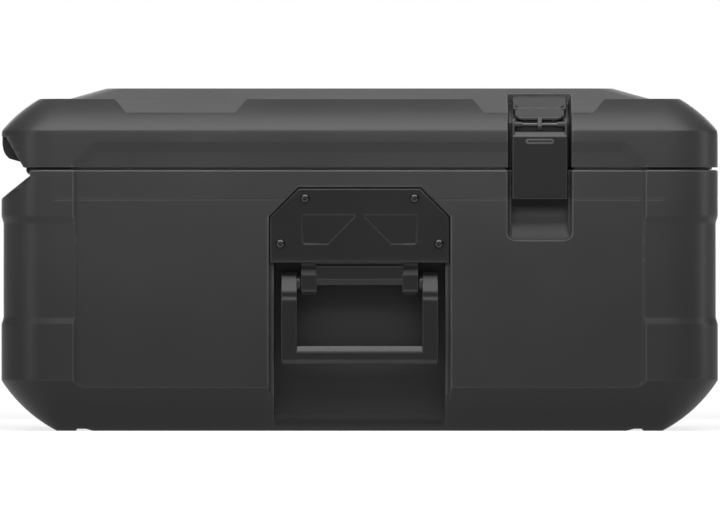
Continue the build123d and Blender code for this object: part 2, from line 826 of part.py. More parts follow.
for name, side in (("near", -1), ("far", 1)):
    # Handle bracket: a plate in the seat, two lugs for the bail and an apron between them
    with BuildPart() as handle_bracket:
        plate_back = handle_seat_inset - seat_gap
        plate_front = plate_back - bracket_thickness
        seat_top = rim_height - handle_top_drop
        with BuildSketch(side_plane(side, plate_back)):
            with BuildLine():
                Polyline(
                    (-handle_half, bracket_bottom - bracket_gap),
                    (-handle_half, seat_top - handle_chamfer),
                    (-handle_top_half, seat_top),
                    (handle_top_half, seat_top),
                    (handle_half, seat_top - handle_chamfer),
                    (handle_half, bracket_bottom - bracket_gap),
                    close=True,
                )
            make_face()
            offset(amount=-bracket_gap, kind=Kind.INTERSECTION, mode=Mode.REPLACE)
        extrude(amount=bracket_thickness)
        chamfer(handle_bracket.faces().sort_by(Axis.Y)[0 if side < 0 else -1].edges(), bracket_edge)
        ledge_inset = plate_front + ledge_setback
        ledge_top = bracket_bottom + bracket_thickness
        lug_top = hand_top - side_gap
        lug_low = bail_pivot_height - lug_drop
        lug_high = bail_pivot_height + lug_rise
        lug_end = bail_pivot_inset + lug_back
        lug_nose = bail_pivot_inset - lug_front
        lug_shape = [
            (ledge_inset, bracket_bottom),
            (ledge_inset, ledge_top),
            (plate_back, ledge_top),
            (plate_back, lug_top),
            (lug_end - lug_bevel, lug_top),
            (lug_end, lug_top - lug_bevel),
            (lug_end, lug_low + lug_bevel),
            (lug_end - lug_bevel, lug_low),
            (lug_nose + lug_bevel, lug_low),
            (lug_nose, lug_low + lug_bevel),
            (lug_nose, lug_high - lug_bevel),
            (lug_nose + lug_bevel, lug_high),
            (lug_nose + lug_bevel, bracket_bottom),
        ]
        for step in (-1, 1):
            lug_middle = step * (lug_half - lug_thickness / 2)
            extrude(side_outline(side, lug_middle, lug_shape), amount=lug_thickness / 2, both=True)
        apron_low = bracket_bottom - apron_drop
        apron_shape = [
            (ledge_inset, bracket_bottom),
            (ledge_inset, ledge_top),
            (plate_back, ledge_top),
            (plate_back, lug_top),
            (plate_back + apron_back, lug_top),
            (plate_back + apron_back, apron_low + 2 * apron_bevel),
            (plate_back + apron_back - apron_bevel, apron_low),
            (plate_back, apron_low + apron_bevel),
            (plate_back - apron_front, apron_low + 4 * apron_bevel),
            (plate_back - apron_front, bracket_bottom - 2 * apron_bevel),
            (plate_back + apron_bevel - apron_front, bracket_bottom - apron_bevel),
            (plate_back + apron_bevel - apron_front, bracket_bottom),
        ]
        extrude(side_outline(side, 0, apron_shape), amount=lug_half - lug_thickness / 2, both=True)
        with BuildSketch(Plane.YZ):
            with Locations((side * (case_depth / 2 - bail_pivot_inset), bail_pivot_height)):
                Circle(handle_pin_radius + running_gap)
        extrude(amount=lug_half + side_gap, both=True, mode=Mode.SUBTRACT)
        with BuildSketch(side_plane(side, plate_front)):
            with Locations(*screw_places):
                Circle(screw_radius + running_gap)
        extrude(amount=-bracket_thickness, mode=Mode.SUBTRACT)

        # Two shallow sunk fields beside the middle of the plate
        for step in (-1, 1):
            with BuildSketch(side_plane(side, plate_front)):
                with BuildLine():
                    flip = -side * step
                    Polyline(
                        (flip * fade_outer, bracket_bottom + fade_high),
                        (flip * fade_outer, bracket_bottom + fade_low + fade_corner),
                        (flip * (fade_outer - fade_corner), bracket_bottom + fade_low),
                        (flip * fade_foot, bracket_bottom + fade_low),
                        (flip * fade_inner, bracket_bottom + fade_waist),
                        (flip * fade_inner, bracket_bottom + fade_high),
                        close=True,
                    )
                make_face()
            extrude(amount=-fade_depth, mode=Mode.SUBTRACT)
    handle_bracket.part.label = "handle_bracket_" + name
    export_step(handle_bracket.part, f"parts/{handle_bracket.part.label}.step")

    # Bail: two arms and the grip bar, swinging out about the two handle pins
    with BuildPart() as handle_bail:
        bail_back = bail_front_inset + bar_thickness
        head_back = bail_pivot_inset + lug_back
        arm_top = bail_pivot_height + arm_rise
        arm_shape = [
            (bail_pivot_inset + arm_bevel, arm_top),
            (bail_front_inset + arm_setback, bail_pivot_height - arm_slope_drop),
            (bail_front_inset + arm_setback, bail_pivot_height - arm_step_drop),
            (bail_front_inset, bail_pivot_height - arm_front_drop),
            (bail_front_inset, bail_bottom + bail_bevel),
            (bail_front_inset + bail_bevel, bail_bottom),
            (bail_back - bail_bevel, bail_bottom),
            (bail_back, bail_bottom + bail_bevel),
            (bail_back, bail_pivot_height - arm_back_drop),
            (head_back, bail_pivot_height - arm_waist_drop),
            (head_back, arm_top - arm_bevel),
            (head_back - arm_bevel / 2, arm_top),
        ]
        for step in (-1, 1):
            arm_middle = step * (bail_half - arm_width / 2)
            extrude(side_outline(side, arm_middle, arm_shape), amount=arm_width / 2, both=True)
            with BuildSketch(Plane.YZ.offset(step * (lug_half + side_gap))):
                with Locations((side * (case_depth / 2 - bail_pivot_inset), bail_pivot_height)):
                    Circle(boss_radius)
            extrude(amount=step * (bail_half - arm_width - lug_half))
        bar_top = bail_bottom + bar_height
        bar_shape = [
            (bail_front_inset, bail_bottom + bail_bevel),
            (bail_front_inset, bar_top - grip_bevel),
            (bail_front_inset + grip_bevel, bar_top),
            (bail_back - bail_bevel, bar_top),
            (bail_back, bar_top - bail_bevel),
            (bail_back, bail_bottom + bail_bevel),
            (bail_back - bail_bevel, bail_bottom),
            (bail_front_inset + bail_bevel, bail_bottom),
        ]
        extrude(side_outline(side, 0, bar_shape), amount=bail_half - arm_width / 2, both=True)
        for step in (-1, 1):
            with BuildSketch(Plane.YZ.offset(step * lug_half)):
                with Locations((side * (case_depth / 2 - bail_pivot_inset), bail_pivot_height)):
                    Circle(handle_pin_radius + running_gap)
            extrude(amount=step * (bail_half - lug_half - arm_width / 8), mode=Mode.SUBTRACT)
    handle_bail.part.label = "handle_bail_" + name
    export_step(handle_bail.part, f"parts/{handle_bail.part.label}.step")

    # The two pins that carry the bail
    with BuildPart() as handle_pins:
        pin_start = lug_half - lug_thickness + side_gap
        pin_end = bail_half - arm_width / 8 - side_gap
        for step in (-1, 1):
            with BuildSketch(Plane.YZ.offset(step * pin_start)):
                with Locations((side * (case_depth / 2 - bail_pivot_inset), bail_pivot_height)):
                    Circle(handle_pin_radius)
            extrude(amount=step * (pin_end - pin_start))
    handle_pins.part.label = "handle_pins_" + name
    export_step(handle_pins.part, f"parts/{handle_pins.part.label}.step")

    # Four button-head screws through the bracket into the bosses
    with BuildPart() as handle_screws:
        for across, up in screw_places:
            with BuildSketch(side_plane(side, plate_front)):
                with Locations((across, up)):
                    Circle(screw_head_radius)
            extrude(amount=screw_head_height)
            with BuildSketch(side_plane(side, plate_front)):
                with Locations((across, up)):
                    Circle(screw_radius)
            extrude(amount=-(screw_reach - side_gap))
        outer_faces = handle_screws.faces().filter_by(Axis.Y).sort_by(Axis.Y)
        crowns = outer_faces[:4] if side < 0 else outer_faces[-4:]
        fillet(crowns.edges(), screw_head_height - 0.5)
        with BuildSketch(side_plane(side, plate_front - screw_head_height)):
            with Locations(*screw_places):
                RegularPolygon(socket_radius, 6)
        extrude(amount=-socket_depth, mode=Mode.SUBTRACT)
    handle_screws.part.label = "handle_screws_" + name
    export_step(handle_screws.part, f"parts/{handle_screws.part.label}.step")

    # Latch housing: cap on the crown, plinth under the button, block and post for the pivot
    with BuildPart() as latch_housing:
        plinth_low = seat_gap - channel_depth
        plinth_top = plinth_low + plinth_thickness
        cap_end = cap_inset + cap_length
        back_inset = slot_inset - seat_gap
        extrude(
            side_outline(
                side,
                latch_offset,
                [
                    (back_inset, crown_height(back_inset) + plinth_low),
                    (cap_end, crown_height(cap_end) + plinth_low),
                    (cap_end, crown_height(cap_end) - cap_drop),
                    (cap_inset, crown_height(cap_inset) - cap_drop),
                    (cap_inset, crown_height(cap_inset) + plinth_top),
                    (back_inset, crown_height(back_inset) + plinth_top),
                ],
            ),
            amount=latch_width / 2,
            both=True,
        )
        extrude(
            side_outline(
                side,
                latch_offset,
                [
                    (block_inset, block_bottom),
                    (back_inset, block_bottom),
                    (back_inset, crown_height(back_inset) + plinth_top),
                    (block_inset, crown_height(block_inset) + plinth_top),
                ],
            ),
            amount=block_half,
            both=True,
        )
        extrude(
            side_outline(
                side,
                latch_offset,
                [
                    (pivot_inset, pivot_height - post_radius),
                    (block_inset + 1, pivot_height - post_radius),
                    (block_inset + 1, pivot_height + post_arm_rise),
                    (pivot_inset, pivot_height + post_arm_rise),
                ],
            ),
            amount=post_width / 2,
            both=True,
        )
        with BuildSketch(Plane.YZ.offset(latch_offset)):
            with Locations((side * (case_depth / 2 - pivot_inset), pivot_height)):
                Circle(post_radius)
        extrude(amount=post_width / 2, both=True)
        with BuildSketch(Plane.YZ.offset(latch_offset)):
            with Locations((side * (case_depth / 2 - pivot_inset), pivot_height)):
                Circle(latch_pin_radius + running_gap)
        extrude(amount=post_width, both=True, mode=Mode.SUBTRACT)
        stem_places = [
            (latch_offset + step * stem_offset, side * (case_depth / 2 - stem_inset)) for step in (-1, 1)
        ]
        with BuildSketch(Plane.XY.offset(well_bottom)):
            with Locations(*stem_places):
                Circle(well_radius)
        extrude(amount=reach, mode=Mode.SUBTRACT)
        with BuildSketch(Plane.XY.offset(block_bottom)):
            with Locations(*stem_places):
                Circle(stem_radius + 4 * running_gap)
        extrude(amount=2 * reach, mode=Mode.SUBTRACT)
    latch_housing.part.label = "latch_housing_" + name
    export_step(latch_housing.part, f"parts/{latch_housing.part.label}.step")

    # Latch lever: a channel-shaped plate with cheeks round the pin and a hook at its foot
    with BuildPart() as latch_lever:
        plate_back = lever_inset + lever_thickness
        extrude(
            side_outline(
                side,
                latch_offset,
                [
                    (lever_inset, lever_bottom),
                    (lever_inset, lever_shoulder),
                    (lever_inset + lever_ledge, lever_shoulder + lever_ledge),
                    (plate_back + lever_lip, lever_shoulder + lever_ledge),
                    (plate_back + lever_lip, lever_shoulder + lever_lip / 2),
                    (plate_back, lever_shoulder - lever_lip / 2),
                    (plate_back, lever_bottom),
                ],
            ),
            amount=latch_width / 2,
            both=True,
        )
        for step in (-1, 1):
            cheek_middle = latch_offset + step * (latch_width - cheek_thickness) / 2
            extrude(
                side_outline(
                    side,
                    cheek_middle,
                    [
                        (lever_inset + cheek_setback, lever_bottom + cheek_foot),
                        (lever_inset + cheek_setback, lever_shoulder),
                        (lever_inset + lever_ledge - cheek_setback, lever_shoulder + lever_ledge),
                        (pivot_inset - cheek_radius, pivot_height),
                        (pivot_inset + cheek_radius, pivot_height),
                        (pivot_inset + cheek_radius - cheek_setback, lever_shoulder),
                        (pivot_inset + cheek_setback, lever_shoulder - cheek_waist),
                        (pivot_inset + cheek_setback, lever_bottom + 2 * cheek_foot),
                        (pivot_inset - cheek_setback, lever_bottom + cheek_foot),
                    ],
                ),
                amount=cheek_thickness / 2,
                both=True,
            )
            with BuildSketch(Plane.YZ.offset(cheek_middle)):
                with Locations((side * (case_depth / 2 - pivot_inset), pivot_height)):
                    Circle(cheek_radius)
            extrude(amount=cheek_thickness / 2, both=True)
        nose = catch_inset - hook_clearance
        hook_top = catch_bottom - hook_drop
        extrude(
            side_outline(
                side,
                latch_offset,
                [
                    (plate_back - lever_thickness / 2, lever_bottom + hook_height / 2),
                    (plate_back + hook_slope, lever_bottom + hook_height),
                    (nose, hook_top - hook_height),
                    (nose, hook_top),
                    (plate_back - lever_thickness / 2, hook_top + hook_slope),
                ],
            ),
            amount=hook_half,
            both=True,
        )
        with BuildSketch(Plane.YZ.offset(latch_offset)):
            with Locations((side * (case_depth / 2 - pivot_inset), pivot_height)):
                Circle(latch_pin_radius + running_gap)
        extrude(amount=latch_width, both=True, mode=Mode.SUBTRACT)
        with BuildSketch(side_plane(side, lever_inset)):
            with Locations((-side * latch_offset, lever_shoulder - lever_mark_drop)):
                SlotOverall(lever_mark_width, lever_mark_height)
        extrude(amount=-lever_mark_depth, mode=Mode.SUBTRACT)
    latch_lever.part.label = "latch_lever_" + name
    export_step(latch_lever.part, f"parts/{latch_lever.part.label}.step")

    # Steel pin through the cheeks of the lever and the post of the housing
    with BuildPart() as latch_pin:
        with BuildSketch(Plane.YZ.offset(latch_offset)):
            with Locations((side * (case_depth / 2 - pivot_inset), pivot_height)):
                Circle(latch_pin_radius)
        extrude(amount=latch_width / 2 - side_gap, both=True)
    latch_pin.part.label = "latch_pin_" + name
    export_step(latch_pin.part, f"parts/{latch_pin.part.label}.step")

    # Press button: a rounded pad along the crown slope, on two stems
    with BuildPart() as latch_button:
        button_middle = side * (case_depth / 2 - button_inset - button_length / 2)
        with BuildSketch(Plane.XY.offset(block_bottom)):
            with Locations((latch_offset, button_middle)):
                RectangleRounded(2 * button_half, button_length, button_corner)
        extrude(amount=3 * reach)
        button_end = button_inset + button_length
        extrude(
            side_outline(
                side,
                latch_offset,
                [
                    (0, crown_height(0) - cap_drop - button_thickness),
                    (button_end + 1, crown_height(button_end + 1) - cap_drop - button_thickness),
                    (button_end + 1, crown_height(button_end + 1) - cap_drop),
                    (0, crown_height(0) - cap_drop),
                ],
            ),
            amount=latch_width,
            both=True,
            mode=Mode.INTERSECT,
        )
        spring_top = crown_height(stem_inset) - cap_drop - button_thickness - 1
        with BuildSketch(Plane.XY.offset(spring_top)):
            with Locations(*stem_places):
                Circle(well_radius - 2 * running_gap)
        extrude(amount=button_thickness)
        with BuildSketch(Plane.XY.offset(block_bottom + button_travel + 1)):
            with Locations(*stem_places):
                Circle(stem_radius)
        extrude(amount=spring_top - block_bottom - button_travel)
    latch_button.part.label = "latch_button_" + name
    export_step(latch_button.part, f"parts/{latch_button.part.label}.step")

    # The two return springs round the button's stems
    with BuildPart() as latch_springs:
        spring_length = spring_top - well_bottom - spring_wire - 4 * running_gap
        for x, y in stem_places:
            spring_foot = Location((x, y, well_bottom + spring_wire / 2 + 2 * running_gap))
            with BuildLine(Plane(spring_foot)) as coil:
                Helix(spring_length / spring_turns, spring_length, spring_radius)
            with BuildSketch(Plane(origin=coil.line @ 0, z_dir=coil.line % 0)):
                Circle(spring_wire / 2)
            sweep(path=coil.line, is_frenet=True)
    latch_springs.part.label = "latch_springs_" + name
    export_step(latch_springs.part, f"parts/{latch_springs.part.label}.step")
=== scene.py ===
"""Cargo case: looks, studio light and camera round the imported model.

X runs from the hinge to the front, Y from the near side to the far side, Z up. Shapes are worked
out in millimetres, and MeshMaker turns them to metres. "Inset" is the distance in from the planes
of the four corner pillars.
"""

import logging
import math
from dataclasses import dataclass, field
from enum import Enum
from typing import Callable, Sequence

import bmesh
import bpy
import numpy as np
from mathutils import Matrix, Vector


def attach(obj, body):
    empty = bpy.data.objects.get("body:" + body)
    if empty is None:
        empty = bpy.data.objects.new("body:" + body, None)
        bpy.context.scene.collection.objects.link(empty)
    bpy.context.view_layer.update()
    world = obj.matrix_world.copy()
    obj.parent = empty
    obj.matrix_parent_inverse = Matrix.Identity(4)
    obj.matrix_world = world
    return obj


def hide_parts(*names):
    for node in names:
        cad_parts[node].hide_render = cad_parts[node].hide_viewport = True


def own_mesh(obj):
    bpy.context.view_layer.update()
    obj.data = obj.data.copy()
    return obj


logging.basicConfig(level=logging.INFO, format="%(message)s")
log = logging.getLogger("cargo_case")

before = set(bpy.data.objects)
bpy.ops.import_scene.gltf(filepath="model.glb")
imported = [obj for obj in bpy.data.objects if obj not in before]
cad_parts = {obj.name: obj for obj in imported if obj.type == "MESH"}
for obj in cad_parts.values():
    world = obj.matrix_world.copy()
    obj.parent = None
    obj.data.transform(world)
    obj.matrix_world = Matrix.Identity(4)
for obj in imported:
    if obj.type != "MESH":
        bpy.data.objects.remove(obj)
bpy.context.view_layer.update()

MM = 0.001
ROOT_TWO = math.sqrt(2.0)
HALF_DEPTH = 260.0
HINGE_X, HINGE_Z = -283.2, 225.1
LATCH_X = 154.8
SLOT_HALF = 27.25
SLOT_BACK = 20.5
SEAL_TURN, SEAL_EXTRA = 58.0, 12.0
SCREW_PLACES = [(-47.1, 200.0), (47.1, 200.0), (-68.2, 161.0), (68.2, 161.0)]
WHITE = (1.0, 1.0, 1.0, 1.0)

Pair = tuple[float, float]
Triple = tuple[float, float, float]
Outline = Sequence[Pair]
Array = np.ndarray
Socket = bpy.types.NodeSocket
Inputs = bpy.types.bpy_prop_collection


class Side(Enum):
    """The two long sides, which are mirror images."""

    NEAR = -1
    FAR = 1

    @property
    def tag(self) -> str:
        """The side's part of a node's name."""
        return self.name.lower()


# Surfaces


def rounded_fall(
    distance: Array, depth: Array, convex: float = 0.9, draft: float = 0.4, concave: float = 0.7
) -> Array:
    """Depth reached at a distance outside the outline of a sunk area with steep walls.

    With r the rounding at the brink, the depth is r (1 - sqrt(1 - a^2)) for a = 1 - distance / r
    outside the outline. It falls straight over the draft, and ends in the same arc upside down.

    Args:
        distance: Distance outside the outline, negative inside.
        depth: Full depth. Nothing happens where it isn't positive.
        convex: Rounding at the brink.
        draft: Run of the wall.
        concave: Rounding at the wall's foot.

    Returns:
        The depth at each place.
    """
    depth = np.maximum(depth, 0.0)
    brink = np.minimum(convex, depth / 2.2)
    foot = np.minimum(concave, depth / 2.2)
    safe_brink = np.maximum(brink, 1e-9)
    safe_foot = np.maximum(foot, 1e-9)
    above = np.clip(1.0 - distance / safe_brink, 0.0, 1.0)
    top = brink * (1.0 - np.sqrt(1.0 - above**2))
    wall = brink + (depth - brink - foot) * np.clip(-distance / draft, 0.0, 1.0)
    below = np.clip(1.0 - (-distance - draft) / safe_foot, 0.0, 1.0)
    bottom = depth - foot * (1.0 - np.sqrt(1.0 - below**2))
    return np.where(distance > 0.0, top, np.where(-distance < draft, wall, bottom))


# Distances outside an outline at which a row or column of the surface follows it
BRINK = np.array([2.3, 1.2, 0.5, 0.12, 0.0, -0.4, -0.49, -0.75, -1.1, -2.0])
SLANTED_BRINK = np.array([2.3, 1.2, 0.5, 0.12, 0.0, -1.1, -2.2, -2.35, -2.6, -3.0])
STEPPED_BRINK = np.array([2.3, 1.2, 0.5, 0.12, 0.0, -0.8, -1.3, -2.9, -3.2, -3.6])


def soft_ramp(place: Array, softness: float = 0.12) -> Array:
    """One below 0, zero above 1, and straight between with rounded ends.

    The value is 1 - (sqrt(t^2 + s^2) - sqrt((t - 1)^2 + s^2) + 1) / 2.

    Args:
        place: Position t along the ramp.
        softness: Rounding s of both ends.

    Returns:
        The value at each place.
    """
    start = np.sqrt(place**2 + softness**2)
    end = np.sqrt((place - 1.0) ** 2 + softness**2)
    return 1.0 - 0.5 * (start - end + 1.0)


def corner_distance(beside: Array, below: Array | float, radius: float) -> Array:
    """Distance outside two square edges that meet in a quarter circle.

    Args:
        beside: Distance past the arc's centre, square to the first edge.
        below: The same, square to the second edge.
        radius: The arc's radius.

    Returns:
        The distance, negative inside.
    """
    straight = np.maximum(beside, below)
    return np.where((beside > 0) & (below > 0), np.hypot(beside, below), straight) - radius


def rows_of(*parts: Sequence[float]) -> Array:
    """Joins heights, sorts them and leaves out those that occur twice."""
    return np.unique(np.round(np.concatenate(parts), 3))


def mirrored(places: Sequence[Array]) -> list[Array]:
    """The same places on both sides of 0, from the outermost on the low side."""
    return [-place for place in places[::-1]] + list(places)


def spread(stations: Sequence[Array], fills: dict[int, int]) -> Array:
    """Lays columns on the stations and evenly between them.

    Args:
        stations: Place of each station, one value for each row.
        fills: Columns after a station, by its index, where there are any.

    Returns:
        An array of rows by columns.
    """
    columns = [stations[0]]
    for index, (low, high) in enumerate(zip(stations[:-1], stations[1:])):
        count = fills.get(index, 0)
        share = np.arange(1, count + 1) / (count + 1)
        columns += list(low[None, :] + share[:, None] * (high - low)[None, :])
        columns.append(high)
    return np.stack(columns, axis=1)


def soften(outline: Outline, cut: float, steps: int = 3) -> Array:
    """Rounds an outline's corners, each with a curve b(t) = (1-t)^2 p + 2t(1-t) corner + t^2 q.

    Args:
        outline: Corner points.
        cut: Distance of p and q from the corner, at most 0.45 of the shorter neighbouring edge.
        steps: Steps across a corner.

    Returns:
        The rounded outline's points.
    """
    corner = np.asarray(outline, dtype=float)
    back = np.roll(corner, 1, axis=0) - corner
    on = np.roll(corner, -1, axis=0) - corner
    back_length = np.linalg.norm(back, axis=1, keepdims=True)
    on_length = np.linalg.norm(on, axis=1, keepdims=True)
    reach = np.minimum(cut, 0.45 * np.minimum(back_length, on_length))
    start = (corner + back / back_length * reach)[:, None]
    end = (corner + on / on_length * reach)[:, None]
    t = np.linspace(0.0, 1.0, steps + 1)[None, :, None]
    curve = (1 - t) ** 2 * start + 2 * t * (1 - t) * corner[:, None] + t**2 * end
    return curve.reshape(-1, 2)


def put_in_scene(name: str, data: bpy.types.ID) -> bpy.types.Object:
    """Makes an object for a mesh, lamp or camera, at the origin of the scene."""
    made = bpy.data.objects.new(name, data)
    bpy.context.scene.collection.objects.link(made)
    return made


class MeshMaker:
    """Collects grids and caps, and turns them into one object.

    Attributes:
        WIDEST_HIGHLIT: Width in millimetres over which a face gets no painted edge highlight.
        LEAST_BEND: Bend per millimetre at which the painted edge highlight begins.
        BEND_RANGE: Bend per millimetre from there to the full painted edge highlight.
    """

    WIDEST_HIGHLIT = 1.3
    LEAST_BEND = 0.3
    BEND_RANGE = 0.4

    def __init__(self, name: str) -> None:
        """Starts an empty mesh.

        Args:
            name: The object's name.
        """
        self.name = name
        self.points: list[Array] = []
        self.faces: list[Array] = []
        self.caps: list[list[int]] = []
        self.count = 0

    def _take(self, points: Array) -> int:
        """Adds points and returns the index of the first."""
        first = self.count
        self.points.append(points.reshape(-1, 3))
        self.count += len(self.points[-1])
        return first

    def grid(
        self, points: Array, loop_rows: bool = False, loop_columns: bool = False,
        flip: bool = False,
    ) -> None:
        """Adds a grid of quads.

        Args:
            points: Rows by columns by 3.
            loop_rows: Whether the last row meets the first.
            loop_columns: Whether the last column meets the first.
            flip: Turns the faces round.
        """
        rows, columns = points.shape[:2]
        index = np.arange(rows * columns).reshape(rows, columns) + self._take(points)
        if loop_rows:
            index = np.vstack([index, index[:1]])
        if loop_columns:
            index = np.hstack([index, index[:, :1]])
        corners = [index[:-1, :-1], index[:-1, 1:], index[1:, 1:], index[1:, :-1]]
        quads = np.stack(corners, axis=-1).reshape(-1, 4)
        self.faces.append(quads[:, ::-1] if flip else quads)

    def cap(self, points: Array, flip: bool = False) -> None:
        """Closes a ring with one flat face.

        Args:
            points: The ring's points.
            flip: Turns the face round.
        """
        first = self._take(points)
        index = list(range(first, first + len(points)))
        self.caps.append(index[::-1] if flip else index)

    def prism(
        self, outline: Outline, low: float, high: float, place: Callable, rounding: float,
        steps: int = 3,
    ) -> None:
        """Adds a prism with rounded rims.

        The outline is carried from one end to the other. Near an end it is drawn in by
        r (1 - cos a) while the height changes by r (1 - sin a), for a from 0 to a right angle.

        Args:
            outline: Corner points, either way round.
            low: One end.
            high: The other end.
            place: Turns flat arrays (first, second, along) into points.
            rounding: Radius r of the rims.
            steps: Steps across a rounding.
        """
        shape = np.asarray(outline, dtype=float)
        after = np.roll(shape, -1, axis=0)
        if np.sum(shape[:, 0] * after[:, 1] - shape[:, 1] * after[:, 0]) < 0.0:
            shape = shape[::-1]
        ahead = np.roll(shape, -1, axis=0) - shape
        ahead /= np.linalg.norm(ahead, axis=1, keepdims=True)
        behind = np.roll(ahead, 1, axis=0)
        inward = np.stack([-(ahead + behind)[:, 1], (ahead + behind)[:, 0]], axis=1)
        normal = np.stack([-ahead[:, 1], ahead[:, 0]], axis=1)
        inward /= np.maximum(np.sum(inward * normal, axis=1, keepdims=True), 0.2)
        turn = np.linspace(0.0, math.pi / 2, steps + 1)
        draw = rounding * (1.0 - np.sin(turn))
        rise = rounding * (1.0 - np.cos(turn))
        along = np.concatenate([low + rise, high - rise[::-1]])
        pulled = np.concatenate([draw, draw[::-1]])
        rings = shape[None] + pulled[:, None, None] * inward[None]
        level = np.broadcast_to(along[:, None], rings.shape[:2])
        points = place(rings[..., 0], rings[..., 1], level)
        self.grid(points, loop_columns=True)
        self.cap(points[0], flip=True)
        self.cap(points[-1])

    def lathe(
        self, profile: Outline, place: Callable, steps: int = 40, closed: bool = False
    ) -> None:
        """Turns a profile of (radius, height) about an axis.

        Args:
            profile: From the axis at the bottom round to the axis at the top, or a closed loop.
            place: Turns flat arrays (across, up, along) into points.
            steps: Steps round the axis.
            closed: Whether the profile is a closed loop.
        """
        line = np.asarray(profile, dtype=float)
        turn = np.arange(steps) * 2.0 * math.pi / steps
        across = line[:, :1] * np.cos(turn)[None]
        up = line[:, :1] * np.sin(turn)[None]
        along = np.broadcast_to(line[:, 1:], across.shape)
        self.grid(place(across, up, along), loop_columns=True, loop_rows=closed)

    @staticmethod
    def _mark_edges(mesh: bpy.types.Mesh) -> None:
        """Stores how sharply the surface bends outwards, for the highlight painted along edges.

        Along an edge d from a vertex with normal n the bend is -2 (d . n) / |d|^2. The largest one
        at a vertex, less LEAST_BEND and over BEND_RANGE, is held between 0 and 1. Faces wider than
        WIDEST_HIGHLIT have none, where a face's width is its area over its longest edge.

        Args:
            mesh: The finished mesh.
        """
        count = len(mesh.vertices)
        points, normals = np.empty(count * 3), np.empty(count * 3)
        mesh.vertices.foreach_get("co", points)
        mesh.vertex_normals.foreach_get("vector", normals)
        ends = np.empty(len(mesh.edges) * 2, dtype=int)
        mesh.edges.foreach_get("vertices", ends)
        points, normals = points.reshape(-1, 3) / MM, normals.reshape(-1, 3)
        ends = ends.reshape(-1, 2)
        along = points[ends[:, 1]] - points[ends[:, 0]]
        square = np.maximum(np.sum(along**2, axis=1), 1e-6)
        bend = np.zeros(count)
        for end, sign in ((0, -2.0), (1, 2.0)):
            lean = np.sum(along * normals[ends[:, end]], axis=1)
            np.maximum.at(bend, ends[:, end], sign * lean / square)
        corner = np.empty(len(mesh.loops), dtype=int)
        mesh.loops.foreach_get("vertex_index", corner)
        first, total = np.empty((2, len(mesh.polygons)), dtype=int)
        area = np.empty(len(mesh.polygons))
        mesh.polygons.foreach_get("loop_start", first)
        mesh.polygons.foreach_get("loop_total", total)
        mesh.polygons.foreach_get("area", area)
        after = np.arange(1, len(corner) + 1)
        after[first + total - 1] = first
        length = np.linalg.norm(points[corner[after]] - points[corner], axis=1)
        width = area / MM**2 / np.maximum(np.maximum.reduceat(length, first), 1e-6)
        narrow = np.repeat(width < MeshMaker.WIDEST_HIGHLIT, total)
        highlit = (bend[corner] - MeshMaker.LEAST_BEND) / MeshMaker.BEND_RANGE
        sheen_layer = mesh.attributes.new("painted_edge_sheen", "FLOAT", "CORNER")
        sheen_layer.data.foreach_set("value", np.where(narrow, np.clip(highlit, 0.0, 1.0), 0.0))

    def finish(
        self, body: str, slot: str, finish: "Finish", nodes: Sequence[str]
    ) -> bpy.types.Object:
        """Merges doubles, makes the object, gives it its body and finish, and hides the nodes.

        Args:
            body: The body that it rides on.
            slot: The record's material slot. Not used.
            finish: Its finish.
            nodes: The solids that it stands for.

        Returns:
            The object.
        """
        mesh = bpy.data.meshes.new(self.name)
        faces = [face for block in self.faces for face in block.tolist()] + self.caps
        mesh.from_pydata((np.concatenate(self.points) * MM).tolist(), [], faces)
        work = bmesh.new()
        work.from_mesh(mesh)
        bmesh.ops.remove_doubles(work, verts=work.verts, dist=2e-6)
        bmesh.ops.dissolve_degenerate(work, edges=work.edges, dist=1e-6)
        work.to_mesh(mesh)
        work.free()
        # Edge bend, which the finish turns into a highlight painted along edges
        self._mark_edges(mesh)
        mesh.polygons.foreach_set("use_smooth", np.ones(len(mesh.polygons), dtype=bool))
        mesh.set_sharp_from_angle(angle=math.radians(50.0))
        made = put_in_scene(self.name, mesh)
        shading = made.modifiers.new("even_shading", "WEIGHTED_NORMAL")
        shading.keep_sharp = True
        shading.weight = 60
        mesh.materials.append(finish.material())
        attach(made, body)
        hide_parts(*nodes)
        return made


# Finishes


